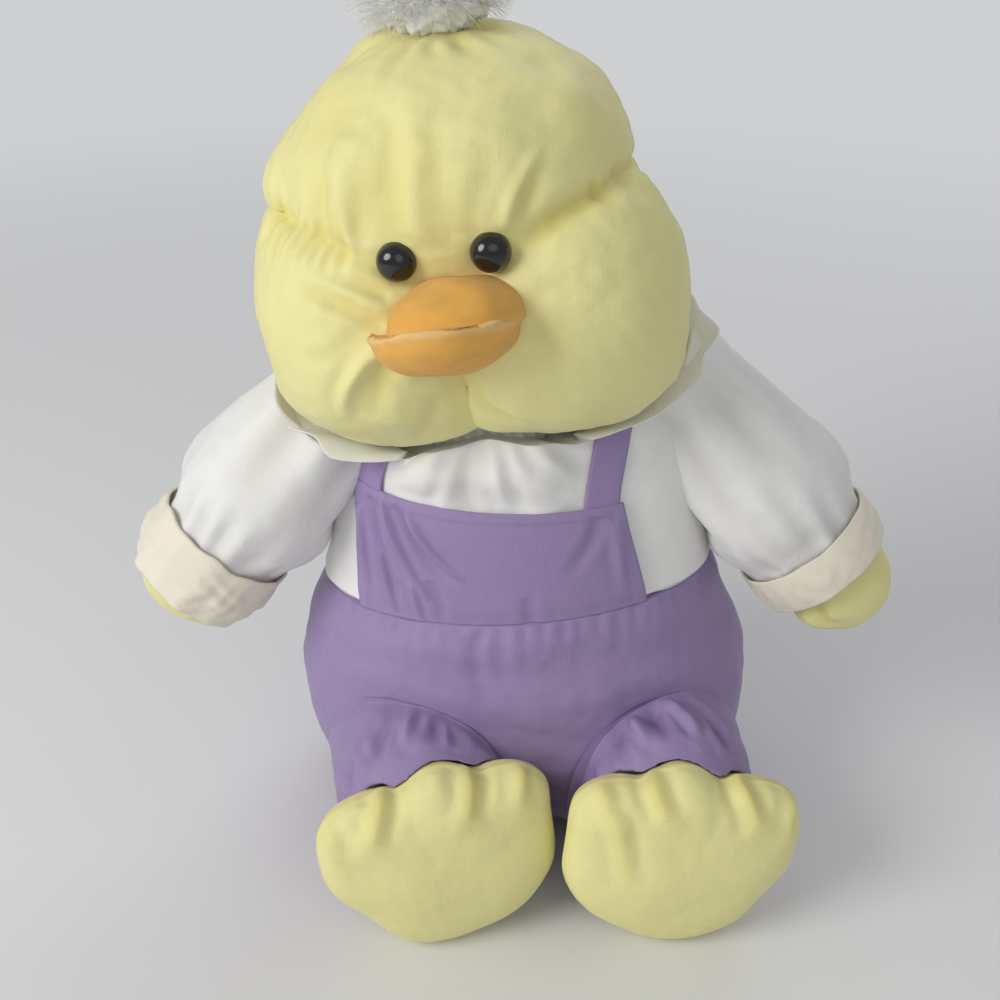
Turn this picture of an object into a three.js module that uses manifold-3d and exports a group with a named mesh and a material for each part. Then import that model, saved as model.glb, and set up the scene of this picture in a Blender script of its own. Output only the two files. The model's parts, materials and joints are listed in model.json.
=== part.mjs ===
// A seated plush chick in bib overalls, in millimetres, +Z up, facing -Y.
// The origin lies on the table, under the middle of the seat.
// Left and right are the chick's own, so left is +X.
// Each soft piece is a fabric skin with its stuffing, as one closed solid that swells and tapers.
// The head turns on the neck, the arms swing in the shoulders and the legs in the hips.
import * as THREE from "three";
import { mergeVertices } from "three/addons/utils/BufferGeometryUtils.js";
import Module from "manifold-3d";

const wasm = await Module();
wasm.setup();

// Clearances
const seamGap = 0.35; // between two sewn pieces that don't move
const swingGap = 0.4; // round what turns: the neck, a shoulder or a hip
const clothStep = 0.5; // between one layer of cloth and the next
const sweepGap = 1.6; // between a swinging limb and the body or collar that it swings past

// Fineness of the curved forms
const aroundBody = 22;
const aroundHead = 18;
const aroundLimb = 16;
const aroundWasher = 14;
const aroundSole = 28;
const soleRows = 8;
const lobeRows = 0.6; // rows of a lobe's facets for each one around
const flankSteps = 5; // along a swelling side
const domeSteps = 5; // from a side to the tip that closes it
const weld = 1e-3;

// Body: one pear-shaped form, overalls below the waist seam and shirt above it
const hipWidth = 204;
const hipHeight = 82; // where the body is widest
const depthShare = 0.74; // of the body's depth to its width
const seatFlatness = 3.6; // higher is flatter underneath
const waistWidth = 166;
const waistHeight = 121;
const waistTilt = 5; // degrees, the front is higher
const waistRoll = 4; // degrees, the chick's left side is higher
const chestWidth = 146;
const chestHeight = 168;
const shoulderWidth = 122;
const shoulderLine = 203;
const bodyHeight = 224;
const seatPress = 0.5; // how far the table flattens the seat, the legs and the heels
const bodyLean = 2.1; // degrees to the chick's right
const bodyTurn = -10; // degrees, bib, straps and collar face the chick's right

// Bib and straps
const bibThickness = 2.4;
const bibTopWidth = 110;
const bibBottomWidth = 122;
const bibHeight = 173; // of its upper edge
const bibShift = -6.5; // of its upper edge, to the chick's right
const bibFoot = 10; // how far its outline reaches down past the waist, which cuts it
const strapThickness = 1.8;
const strapWidth = 13;
const strapInset = 1; // from the bib's side edge to the strap
const strapBend = 178; // height at which a strap turns inwards
const strapShoulder = 42; // from the middle to its outer edge, on the shoulder and down the back

// Collar: two flaps that cup the underside of the head
const collarThickness = 1.6;
const collarInner = 38; // radius at the neck
const collarTop = -32; // of its free edge, in the head's frame
const collarFrontOpening = 100; // degrees of open front
const collarBackOpening = 8;

// Arms
const shoulderX = 67;
const shoulderHeight = 203;
const shoulderRadius = 26;
const sleeveRadius = 34;
const sleeveSwellAt = 58; // from the joint
const sleeveEndRadius = 28.5;
const sleeveLength = 98; // from the joint to the sleeve's end
const sleeveEdge = 3;
const cuffHeight = { left: 19, right: 27 };
const cuffThickness = 3;
const cuffFlare = 2; // how much wider the turned-back edge stands
const cuffOverhang = { left: 6, right: 14 }; // past the sleeve's end
const handRadius = 23;
const wristRadius = 20.7;
const handLength = { left: 37, right: 31 };
const palmLength = 13; // from the cuff to where the hand rounds off
const handFlatness = 0.82;
const armRaise = { left: 41, right: 41 }; // degrees, away from the body
const armForward = { left: 9, right: 9 }; // degrees
const armSwing = 20; // degrees forward and back from rest
const armpitGap = 6; // from the chest's widest to the sleeve's flattened inner side

// Legs and feet
const hipJointX = 53;
const hipJointY = -30;
const legHeight = 87;
const legWidth = 76;
const legTaper = 0.8; // the ankle's share of the leg's thickness
const legTaperFrom = 36; // from the joint to where the leg starts to narrow
const legLength = { left: 69, right: 71 }; // from the joint to the middle of the foot
const legTurn = { left: 6, right: 12 }; // degrees to the chick's left
const legRaise = 7; // degrees up from rest
const legDrop = 8; // degrees down from rest, over an edge
const footWidth = 96;
const footHeight = 79;
const footThickness = 35;
const footLean = 10; // degrees, the toes lie back
const toeFan = 0.15; // share by which the sole spreads at its outer toes
const heelTaper = 0.12; // share by which it narrows at the heel
const toeSpacing = 44; // degrees between the three toes
const toeNotch = 0.1; // share of the outline drawn in between two toes
const soleFullness = 0.8; // lower is fuller towards the outline
const soleCrown = 0.85; // lower is flatter in the middle

// Head, in its own frame
const headPlace = new THREE.Vector3(-26, -12, 265);
const headRoll = -7.5; // degrees, the chick's left side is higher
const headTurn = -4; // degrees, the face looks to the chick's right
const headNod = -2;
const crown = { at: [0, 4, 26], half: [66, 66, 54] };
const cheek = { at: [32, -6, -15], half: [50, 60, 54] };
const nape = { at: [0, 18, -4], half: [73, 56, 56] };
const lobeSquareness = 2.15;
const cupRadius = 84; // of the round cup in which the head turns
const cupSquareness = 3;
const cupDepth = 57; // from the cheeks' middle down
const neckRadius = 30;
const neckHeight = -36; // of the neck's top, in the head's frame
const neckLength = 48;
const neckRound = 8; // radius of its upper edge

// Face
const eyeDiameter = 14;
const eyeDome = 6;
const eyeSpacing = 32;
const eyeHeight = 16;
const eyeTurn = 10; // degrees that each eye looks aside
const shankDiameter = 4.5;
const shankLength = 16;
const washerDiameter = 12;
const washerThickness = 1.6;
const mouthHeight = -7; // at the face
const mouthRoot = -60;
const beakTilt = 16; // degrees, the tip is higher
const beakSquareness = 2.3;
const beakUpper = [23, 33, 16];
const beakLower = [27, 38, 17];

// Tuft of fur on the crown
const tuftHalf = [27, 24, 22];
const tuftSink = 5;

const colours = {
  yellow: 0xc9c56a,
  orange: 0xe09a2e,
  white: 0xe2e0dc,
  cream: 0xd9d2bd,
  purple: 0x7560a8,
  black: 0x0c0c0e,
  fur: 0xeeeeea,
  nylon: 0xdadada,
};
const cloth = (colour) => new THREE.MeshStandardMaterial({ color: colour, roughness: 0.6, metalness: 0 });
const plastic = (colour) => new THREE.MeshStandardMaterial({ color: colour, roughness: 0.15, metalness: 0 });

const degrees = THREE.MathUtils.degToRad;
// How far a round form's facets cut inside it
const facetRoom = (radius, around) => radius * (1 - Math.cos(Math.PI / around));
const sides = { left: 1, right: -1 };

// A closed geometry, moved by a matrix, as a manifold-3d solid.
function solidOf(geometry, matrix) {
  const bare = new THREE.BufferGeometry();
  bare.setAttribute("position", geometry.getAttribute("position").clone());
  bare.setIndex(geometry.index);
  bare.applyMatrix4(matrix);
  const merged = mergeVertices(bare, weld);
  const corners = merged.index.array;
  const kept = [];
  for (let i = 0; i < corners.length; i += 3) {
    const [a, b, c] = corners.slice(i, i + 3);
    if (a !== b && b !== c && c !== a) kept.push(a, b, c);
  }
  return new wasm.Manifold(
    new wasm.Mesh({
      numProp: 3,
      vertProperties: merged.attributes.position.array,
      triVerts: new Uint32Array(kept),
    }),
  );
}

// A solid in the part's frame as a named mesh inside a group.
function meshOf(name, solid, material, group) {
  const { vertProperties, triVerts, numProp, numVert } = solid.getMesh();
  const position = new Float32Array(numVert * 3);
  for (let i = 0; i < numVert; i++) {
    position.set(vertProperties.subarray(i * numProp, i * numProp + 3), i * 3);
  }
  const geometry = new THREE.BufferGeometry();
  geometry.setAttribute("position", new THREE.BufferAttribute(position, 3));
  geometry.setIndex(new THREE.BufferAttribute(new Uint32Array(triVerts), 1));
  geometry.applyMatrix4(group.matrixWorld.clone().invert());
  geometry.computeVertexNormals();
  const mesh = new THREE.Mesh(geometry, material);
  mesh.name = name;
  group.add(mesh);
}

// A round form about Z from [radius, height] points that start and end on the axis, lowest first.
function turned(points, around = aroundLimb) {
  const profile = points.map(([radius, height]) => new THREE.Vector2(Math.max(radius, 0), height));
  return new THREE.LatheGeometry(profile, around).rotateX(Math.PI / 2);
}

// Points of a quarter arc, from the side at startHeight to the axis at startHeight + rise.
function dome(radius, startHeight, rise) {
  const points = [];
  for (let i = 1; i <= domeSteps; i++) {
    const turn = (Math.PI / 2) * (i / domeSteps);
    points.push([i === domeSteps ? 0 : radius * Math.cos(turn), startHeight + rise * Math.sin(turn)]);
  }
  return points;
}

// A swelling lobe: a sphere drawn out to a rounded box of these half sizes.
function lobe(half, squareness, around) {
  const geometry = new THREE.SphereGeometry(1, around, Math.round(around * lobeRows)).rotateX(Math.PI / 2);
  const place = geometry.getAttribute("position");
  const [a, b, c] = half;
  for (let i = 0; i < place.count; i++) {
    const [x, y, z] = [place.getX(i), place.getY(i), place.getZ(i)];
    const sum = Math.abs(x / a) ** squareness + Math.abs(y / b) ** squareness + Math.abs(z / c) ** squareness;
    const reach = sum ** (-1 / squareness);
    place.setXYZ(i, x * reach, y * reach, z * reach);
  }
  return geometry;
}

// What lies on the positive side of a plane, and at least a gap away from it.
function beyond(solid, plane, gap = 0) {
  return solid.trimByPlane(plane.normal.toArray(), gap - plane.constant);
}

function group(name, position, rotation, order) {
  const made = new THREE.Group();
  made.name = name;
  made.position.copy(position);
  made.rotation.set(...rotation.map(degrees), order);
  chick.add(made);
  made.updateMatrixWorld(true);
  return made;
}

const chick = new THREE.Group();
chick.name = "plush_chick";
const table = new THREE.Plane(new THREE.Vector3(0, 0, 1), 0);
const lean = new THREE.Matrix4().makeShear(0, 0, 0, 0, -Math.tan(degrees(bodyLean)), 0);

// The body form, grown on all sides by some millimetres
function bodyForm(grow) {
  const bottom = -seatPress - grow;
  const hip = new THREE.Vector2(hipWidth / 2 + grow, hipHeight);
  const points = [];
  for (let i = 0; i < flankSteps; i++) {
    const turn = (Math.PI / 2) * (i / flankSteps);
    const radius = hip.x * Math.sin(turn) ** (2 / seatFlatness);
    points.push([radius, hip.y - (hip.y - bottom) * Math.cos(turn) ** (2 / seatFlatness)]);
  }
  const flank = new THREE.SplineCurve([
    hip,
    new THREE.Vector2(waistWidth / 2 + grow, waistHeight),
    new THREE.Vector2(chestWidth / 2 + grow, chestHeight),
    new THREE.Vector2(shoulderWidth / 2 + grow, shoulderLine),
  ]);
  for (const point of flank.getPoints(flankSteps)) points.push([point.x, point.y]);
  points.push(...dome(shoulderWidth / 2 + grow, shoulderLine, bodyHeight - shoulderLine + grow));
  const squash = new THREE.Matrix4().makeScale(1, depthShare, 1);
  return solidOf(turned(points, aroundBody), lean.clone().multiply(squash));
}

// A slab through the body, turned and leaning with it.
// Its outline's points are [x, z] as seen from the front.
function bodyPrism(outline, front, back) {
  const shape = new THREE.Shape(outline.map(([x, z]) => new THREE.Vector2(x, z)));
  const geometry = new THREE.ExtrudeGeometry(shape, { depth: back - front, bevelEnabled: false });
  geometry.rotateX(Math.PI / 2).translate(0, back, 0);
  const turn = new THREE.Matrix4().makeRotationZ(degrees(bodyTurn));
  geometry.deleteAttribute("normal").deleteAttribute("uv");
  return solidOf(mergeVertices(geometry), lean.clone().multiply(turn));
}

// Head lobes, each in the part's frame
const head = group("head", headPlace, [headNod, headRoll, headTurn], "YZX");
const headForms = [[crown, 0], [cheek, 1], [cheek, -1], [nape, 0]];

function headLobe(form, side, grow = 0) {
  const geometry = lobe(form.half.map((size) => size + grow), lobeSquareness, aroundHead);
  geometry.translate(side * form.at[0], form.at[1], form.at[2]);
  return solidOf(geometry, head.matrixWorld);
}

// The round space in which the head's lower half turns, and some more
function headSpace(extra) {
  const radius = cupRadius + swingGap + extra;
  const geometry = lobe([radius, radius, cupDepth + swingGap + extra], cupSquareness, aroundBody);
  return solidOf(geometry.translate(0, 0, cheek.at[2]), head.matrixWorld);
}

// The neck: a stuffed stub of the body that the head turns on
function neckForm(grow) {
  const top = neckHeight + grow;
  const profile = [[0, top - neckLength], [neckRadius + grow, top - neckLength]];
  profile.push([neckRadius + grow, top - neckRound], ...dome(neckRadius + grow, top - neckRound, neckRound));
  return solidOf(turned(profile), head.matrixWorld);
}

const middle = new THREE.Plane(new THREE.Vector3(1, 0, 0), 0).applyMatrix4(head.matrixWorld);
const crownGrown = headLobe(crown, 0, seamGap);
const cheeksGrown = headLobe(cheek, 1, seamGap).add(headLobe(cheek, -1, seamGap));
const headGrown = crownGrown.add(cheeksGrown);

// How far forward the head's surface lies in front of a point of the face, in the head's frame
function faceDepth(x, z) {
  const depths = headForms.map(([form, side]) => {
    const across = Math.abs((x - side * form.at[0]) / form.half[0]) ** lobeSquareness;
    const up = Math.abs((z - form.at[2]) / form.half[2]) ** lobeSquareness;
    const left = 1 - across - up;
    return left > 0 ? form.at[1] - form.half[1] * left ** (1 / lobeSquareness) : Infinity;
  });
  return Math.min(...depths);
}

// An eye: a domed button on a shank, with its lock washer in a pocket behind the face
function eyeParts(sign) {
  const radius = eyeDiameter / 2;
  const shank = shankDiameter / 2;
  const hole = shank + seamGap;
  const x = (sign * eyeSpacing) / 2;
  const facing = new THREE.Matrix4().makeRotationX(Math.PI / 2);
  const aim = new THREE.Matrix4().makeRotationZ(degrees(sign * eyeTurn));
  const place = new THREE.Matrix4().makeTranslation(x, faceDepth(x, eyeHeight) - seamGap, eyeHeight);
  const matrix = head.matrixWorld.clone().multiply(place).multiply(aim).multiply(facing);
  const button = [[0, -shankLength], [shank, -shankLength], [shank, 0], [radius, 0]];
  button.push(...dome(radius, 0, eyeDome));
  const low = -shankLength;
  const high = low + washerThickness;
  const rim = washerDiameter / 2;
  const washer = [[hole, low], [rim, low], [rim, high], [hole, high], [hole, low]];
  const pocket = [[0, low - seamGap], [rim + seamGap, low - seamGap], [rim + seamGap, -seamGap]];
  const outside = eyeDome * 2;
  pocket.push([radius + seamGap, -seamGap], [radius + seamGap, outside], [0, outside]);
  return {
    button: solidOf(turned(button), matrix),
    washer: solidOf(turned(washer, aroundWasher), matrix),
    pocket: solidOf(turned(pocket), matrix),
  };
}

const eyes = { left: eyeParts(sides.left), right: eyeParts(sides.right) };
const eyeRoom = eyes.left.pocket.add(eyes.right.pocket);

// Half of the beak: a stuffed lobe on one side of the mouth line
function beakLobe(half, sign) {
  const tilt = new THREE.Matrix4().makeRotationX(-degrees(beakTilt)).setPosition(0, mouthRoot, mouthHeight);
  const matrix = head.matrixWorld.clone().multiply(tilt);
  const mouth = new THREE.Plane(new THREE.Vector3(0, 0, sign), 0).applyMatrix4(matrix);
  const whole = solidOf(lobe(half, beakSquareness, aroundLimb), matrix);
  const lip = beyond(whole, mouth, seamGap / 2);
  return lip.subtract(headGrown).subtract(eyeRoom);
}

const neckPocket = neckForm(swingGap + facetRoom(neckRadius, aroundLimb));
const headHoles = eyeRoom.add(neckPocket);

function addHead() {
  meshOf("head_crown", headLobe(crown, 0).subtract(headHoles), cloth(colours.yellow), head);
  for (const [side, sign] of Object.entries(sides)) {
    const half = sign > 0 ? middle : middle.clone().negate();
    const lump = beyond(headLobe(cheek, sign), half, seamGap / 2).subtract(crownGrown);
    meshOf(`head_cheek_${side}`, lump.subtract(headHoles), cloth(colours.yellow), head);
    meshOf(`eye_${side}`, eyes[side].button, plastic(colours.black), head);
    meshOf(`eye_washer_${side}`, eyes[side].washer, plastic(colours.nylon), head);
  }
  const back = headLobe(nape, 0).subtract(headGrown).subtract(neckPocket);
  meshOf("head_nape", back, cloth(colours.yellow), head);
  meshOf("beak_upper", beakLobe(beakUpper, 1), cloth(colours.orange), head);
  meshOf("beak_lower", beakLobe(beakLower, -1), cloth(colours.orange), head);
  const tuft = lobe(tuftHalf, 2, aroundLimb);
  tuft.translate(crown.at[0], crown.at[1], crown.at[2] + crown.half[2] + tuftHalf[2] - tuftSink);
  meshOf("fur_tuft", solidOf(tuft, head.matrixWorld).subtract(crownGrown), cloth(colours.fur), head);
}

// Arms: each runs along its group's own -Z, from the shoulder joint at its origin
function shoulderPlace(side) {
  const leanX = -Math.tan(degrees(bodyLean)) * shoulderHeight;
  return new THREE.Vector3(sides[side] * shoulderX + leanX, 0, shoulderHeight);
}

function sleeveForm(matrix) {
  const flank = new THREE.SplineCurve([
    new THREE.Vector2(sleeveEndRadius, -sleeveLength + sleeveEdge),
    new THREE.Vector2(sleeveRadius, -sleeveSwellAt),
    new THREE.Vector2(shoulderRadius, 0),
  ]);
  const profile = [[0, -sleeveLength], [sleeveEndRadius - sleeveEdge, -sleeveLength]];
  for (const point of flank.getPoints(flankSteps)) profile.push([point.x, point.y]);
  profile.push(...dome(shoulderRadius, 0, shoulderRadius));
  return solidOf(turned(profile), matrix);
}

function cuffForm(matrix, side) {
  const inner = sleeveEndRadius + cuffFlare;
  const low = -sleeveLength - cuffOverhang[side];
  const high = low + cuffHeight[side];
  const outer = inner + cuffThickness;
  const edge = [[outer + cuffFlare, high], [inner + cuffFlare, high]];
  const profile = [[inner, low], [outer, low], ...edge, [inner, low]];
  return solidOf(turned(profile), matrix);
}

function handForm(matrix, length) {
  const root = -sleeveLength - seamGap;
  const palm = root - palmLength;
  const tip = dome(handRadius, palm, palmLength - length).reverse();
  const profile = [...tip, [handRadius, palm], [wristRadius, root], [0, root]];
  return solidOf(turned(profile), matrix.clone().scale(new THREE.Vector3(1, handFlatness, 1)));
}

// A ball in the part's frame, with its own share of width and its facets turned by some radians
function ball(radius, centre, widthShare = 1, facetTurn = 0) {
  const geometry = new THREE.SphereGeometry(radius, aroundLimb, aroundLimb / 2).rotateZ(Math.PI / 2);
  geometry.rotateX(facetTurn).scale(widthShare, 1, 1);
  return solidOf(geometry, new THREE.Matrix4().makeTranslation(...centre.toArray()));
}

// The socket for a ball, with the middles of its facets at the ball's corners
function socket(radius, centre, widthShare = 1) {
  const room = swingGap + facetRoom(radius, aroundLimb);
  return ball(radius + room, centre, (radius * widthShare + room) / (radius + room), Math.PI / aroundLimb);
}

// A solid turned by some degrees about the line along X through a point
function swung(solid, joint, angle) {
  const there = new THREE.Matrix4().makeTranslation(...joint.clone().negate().toArray());
  const turn = new THREE.Matrix4().makeRotationX(degrees(angle));
  const back = new THREE.Matrix4().makeTranslation(...joint.toArray());
  return solid.transform(back.multiply(turn).multiply(there).toArray());
}

// What is left of a limb beside an obstacle, in some positions of its swing
function clearOf(limb, obstacle, joint, limits) {
  return limits.reduce((left, angle) => left.subtract(swung(obstacle, joint, angle)), limb);
}

const collarSpace = collarThickness + clothStep;
const strapSpace = strapThickness + clothStep;
const shoulderSockets = [];

function addArm(side) {
  const place = shoulderPlace(side);
  const arm = group(`arm_${side}`, place, [-armForward[side], -sides[side] * armRaise[side], 0], "YXZ");
  const flank = new THREE.Plane(new THREE.Vector3(sides[side], 0, 0), -chestWidth / 2 - armpitGap);
  const level = new THREE.Plane(new THREE.Vector3(0, 0, 1), -shoulderHeight);
  const whole = sleeveForm(arm.matrixWorld);
  const outside = beyond(whole, flank.applyMatrix4(lean)).add(beyond(whole, level));
  const sleeve = outside.add(ball(shoulderRadius, place));
  const freed = clearOf(sleeve, headSpace(collarSpace + sweepGap), place, [-armSwing, 0, armSwing]);
  meshOf(`sleeve_${side}`, freed, cloth(colours.white), arm);
  meshOf(`cuff_${side}`, cuffForm(arm.matrixWorld, side), cloth(colours.cream), arm);
  meshOf(`hand_${side}`, handForm(arm.matrixWorld, handLength[side]), cloth(colours.yellow), arm);
  shoulderSockets.push(socket(shoulderRadius, place));
}

// Legs: each runs along its group's own -Z, from the hip joint at its origin
function legForm(matrix, length) {
  const radius = legHeight / 2;
  const profile = [[0, -length], [radius * legTaper, -length], [radius, -legTaperFrom]];
  profile.push([radius, 0], ...dome(radius, 0, radius));
  return solidOf(turned(profile), matrix.clone().scale(new THREE.Vector3(legWidth / legHeight, 1, 1)));
}

// The sole's outline: its reach at an angle, as a share of its half sizes.
// 0 is the side and 90 degrees the toes.
function soleReach(angle) {
  const fromMiddle = Math.abs(angle - Math.PI / 2) / degrees(toeSpacing);
  const notch = fromMiddle < 1 ? 0.5 - 0.5 * Math.cos(2 * Math.PI * fromMiddle) : 0;
  const corner = Math.sin(2 * angle) ** 2;
  return (1 + (angle > 0 ? toeFan : -heelTaper) * corner) * (1 - toeNotch * notch);
}

function footForm(matrix, grow = 0) {
  const geometry = new THREE.SphereGeometry(1, aroundSole, soleRows);
  const place = geometry.getAttribute("position");
  const half = [footWidth, footThickness, footHeight].map((size) => size / 2 + grow);
  for (let i = 0; i < place.count; i++) {
    const [x, y, z] = [place.getX(i), place.getY(i), place.getZ(i)];
    const outline = Math.max(Math.hypot(x, z), weld);
    const reach = (soleReach(Math.atan2(z, x)) * outline ** soleFullness) / outline;
    const depth = Math.sign(y) * Math.abs(y) ** soleCrown;
    place.setXYZ(i, x * reach * half[0], depth * half[1], z * reach * half[2]);
  }
  return solidOf(geometry, matrix);
}

const hipSockets = [];

function addLeg(side) {
  const place = new THREE.Vector3(sides[side] * hipJointX, hipJointY, legHeight / 2 - seatPress);
  const leg = group(`leg_${side}`, place, [-90, 0, legTurn[side]], "ZXY");
  const ankle = new THREE.Vector3(0, 0, -legLength[side]).applyMatrix4(leg.matrixWorld);
  ankle.z = footHeight / 2 - seatPress;
  const foot = group(`foot_${side}`, ankle, [-footLean, 0, legTurn[side]], "ZXY");
  const widthShare = legWidth / legHeight;
  const whole = legForm(leg.matrixWorld, legLength[side]);
  const freed = clearOf(whole, bodyForm(sweepGap), place, [legRaise, -legDrop]);
  const limb = freed.add(ball(legHeight / 2, place, widthShare));
  const trimmed = beyond(limb, table).subtract(footForm(foot.matrixWorld, seamGap));
  meshOf(`trouser_leg_${side}`, trimmed, cloth(colours.purple), leg);
  meshOf(`foot_${side}`, beyond(footForm(foot.matrixWorld), table), cloth(colours.yellow), foot);
  hipSockets.push(socket(legHeight / 2, place, widthShare));
}

// The shirt's and the overalls' halves of the body, which meet at the waist seam
const waistSlope = [-Math.tan(degrees(waistRoll)), Math.tan(degrees(waistTilt)), 1];
const waistNormal = new THREE.Vector3(...waistSlope).normalize();
const waistMiddle = new THREE.Vector3(0, 0, waistHeight);
const waist = new THREE.Plane().setFromNormalAndCoplanarPoint(waistNormal, waistMiddle);
const aboveWaist = (solid) => beyond(solid, waist, seamGap / 2);
const belowWaist = (solid) => beyond(solid, waist.clone().negate(), seamGap / 2);

// The outer surface of the shirt, some millimetres out, with the cup that the head rests in
function shirtForm(grow, cupDepth) {
  return bodyForm(grow).subtract(headSpace(cupDepth));
}

function addBody() {
  let torso = aboveWaist(shirtForm(0, collarSpace + strapSpace)).add(neckForm(0));
  for (const hollow of shoulderSockets) torso = torso.subtract(hollow);
  meshOf("shirt_torso", torso, cloth(colours.white), chick);
  let seat = beyond(belowWaist(bodyForm(0)), table);
  for (const hollow of hipSockets) seat = seat.subtract(hollow);
  meshOf("trousers_seat", seat, cloth(colours.purple), chick);
}

// Bib: a sheet of cloth on the chest, from the waist seam up
const bibFar = -hipWidth;
const bibOutline = [
  [-bibBottomWidth / 2, waistHeight - bibFoot],
  [bibBottomWidth / 2, waistHeight - bibFoot],
  [bibShift + bibTopWidth / 2, bibHeight],
  [bibShift - bibTopWidth / 2, bibHeight],
];

function addBib() {
  const shell = bodyForm(clothStep + bibThickness).subtract(bodyForm(clothStep));
  meshOf("bib", aboveWaist(shell.intersect(bodyPrism(bibOutline, bibFar, 0))), cloth(colours.purple), chick);
}

// Straps: each runs from the bib over the shoulder and down the back to the waist
function addStrap(side) {
  const sign = sides[side];
  const top = bodyHeight * 2;
  const shoulder = sign * strapShoulder;
  const corner = bibShift + sign * (bibTopWidth / 2 - strapInset);
  const band = (outer) => {
    const inner = outer.map(([x, z]) => [x - sign * strapWidth, z]).reverse();
    return [...outer, ...inner];
  };
  const rising = [[corner, bibHeight], [corner, strapBend], [shoulder, shoulderLine], [shoulder, top]];
  const bibEdge = bibHeight + clothStep;
  const aboveBib = [[-top, bibEdge], [top, bibEdge], [top, top], [-top, top]];
  const clearOfBib = bodyPrism(aboveBib, bibFar, strapWidth);
  const front = bodyPrism(band(rising), bibFar, strapWidth).intersect(clearOfBib);
  const back = bodyPrism(band([[shoulder, 0], [shoulder, top]]), 0, hipWidth);
  const under = shirtForm(clothStep, collarSpace + strapThickness);
  const cover = shirtForm(strapSpace, collarSpace).subtract(under);
  const whole = aboveWaist(cover.intersect(front.add(back))).subtract(neckForm(clothStep));
  const strap = whole.subtract(socket(shoulderRadius + sweepGap, shoulderPlace(side)));
  meshOf(`strap_${side}`, strap, cloth(colours.purple), chick);
}

// Collar: a bowl of cloth under the head, in two flaps
function addCollar(side) {
  const front = -90 + (sides[side] * collarFrontOpening) / 2;
  const back = front + sides[side] * (180 - (collarFrontOpening + collarBackOpening) / 2);
  const [start, end] = [front, back].sort((a, b) => a - b).map(degrees);
  const sector = new THREE.Shape();
  sector.absarc(0, 0, hipWidth, start, end);
  sector.absarc(0, 0, collarInner, end, start, true);
  const options = { depth: hipWidth, bevelEnabled: false, curveSegments: flankSteps };
  const wedge = new THREE.ExtrudeGeometry(sector, options);
  const bowl = headSpace(collarThickness).subtract(headSpace(0));
  const flap = bowl.intersect(solidOf(wedge.translate(0, 0, collarTop - hipWidth), head.matrixWorld));
  meshOf(`collar_${side}`, flap, cloth(colours.white), chick);
}

addHead();
for (const side of Object.keys(sides)) {
  addArm(side);
  addLeg(side);
}
addBody();
addBib();
for (const side of Object.keys(sides)) {
  addStrap(side);
  addCollar(side);
}

export default chick;
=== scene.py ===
# The looks of a seated plush chick in bib overalls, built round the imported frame.
# Shapes are worked out in millimetres and become metres in Skin.piece().
# Left and right are the chick's own, so left is +X. It faces -Y.
import json
import math

import bmesh
import bpy
import numpy as np
from mathutils import Matrix, Vector


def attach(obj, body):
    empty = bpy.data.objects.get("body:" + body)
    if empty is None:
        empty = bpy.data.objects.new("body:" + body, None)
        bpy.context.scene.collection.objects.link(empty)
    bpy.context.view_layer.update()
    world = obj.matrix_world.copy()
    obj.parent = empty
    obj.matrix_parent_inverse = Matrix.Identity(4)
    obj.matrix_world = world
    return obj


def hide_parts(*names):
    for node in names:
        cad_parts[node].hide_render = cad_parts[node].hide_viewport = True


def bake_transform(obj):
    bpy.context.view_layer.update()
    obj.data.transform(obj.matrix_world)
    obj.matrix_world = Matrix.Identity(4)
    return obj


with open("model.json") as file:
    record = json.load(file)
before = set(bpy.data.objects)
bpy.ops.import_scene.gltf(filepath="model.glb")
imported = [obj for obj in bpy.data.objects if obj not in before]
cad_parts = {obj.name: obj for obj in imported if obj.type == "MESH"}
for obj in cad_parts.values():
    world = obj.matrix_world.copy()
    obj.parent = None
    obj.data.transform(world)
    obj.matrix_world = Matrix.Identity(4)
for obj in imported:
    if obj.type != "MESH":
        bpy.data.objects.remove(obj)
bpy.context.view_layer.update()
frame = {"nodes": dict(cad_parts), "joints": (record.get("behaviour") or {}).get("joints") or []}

MM = 0.001
sides = {"left": 1, "right": -1}
rad = math.radians


# Node trees

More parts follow.
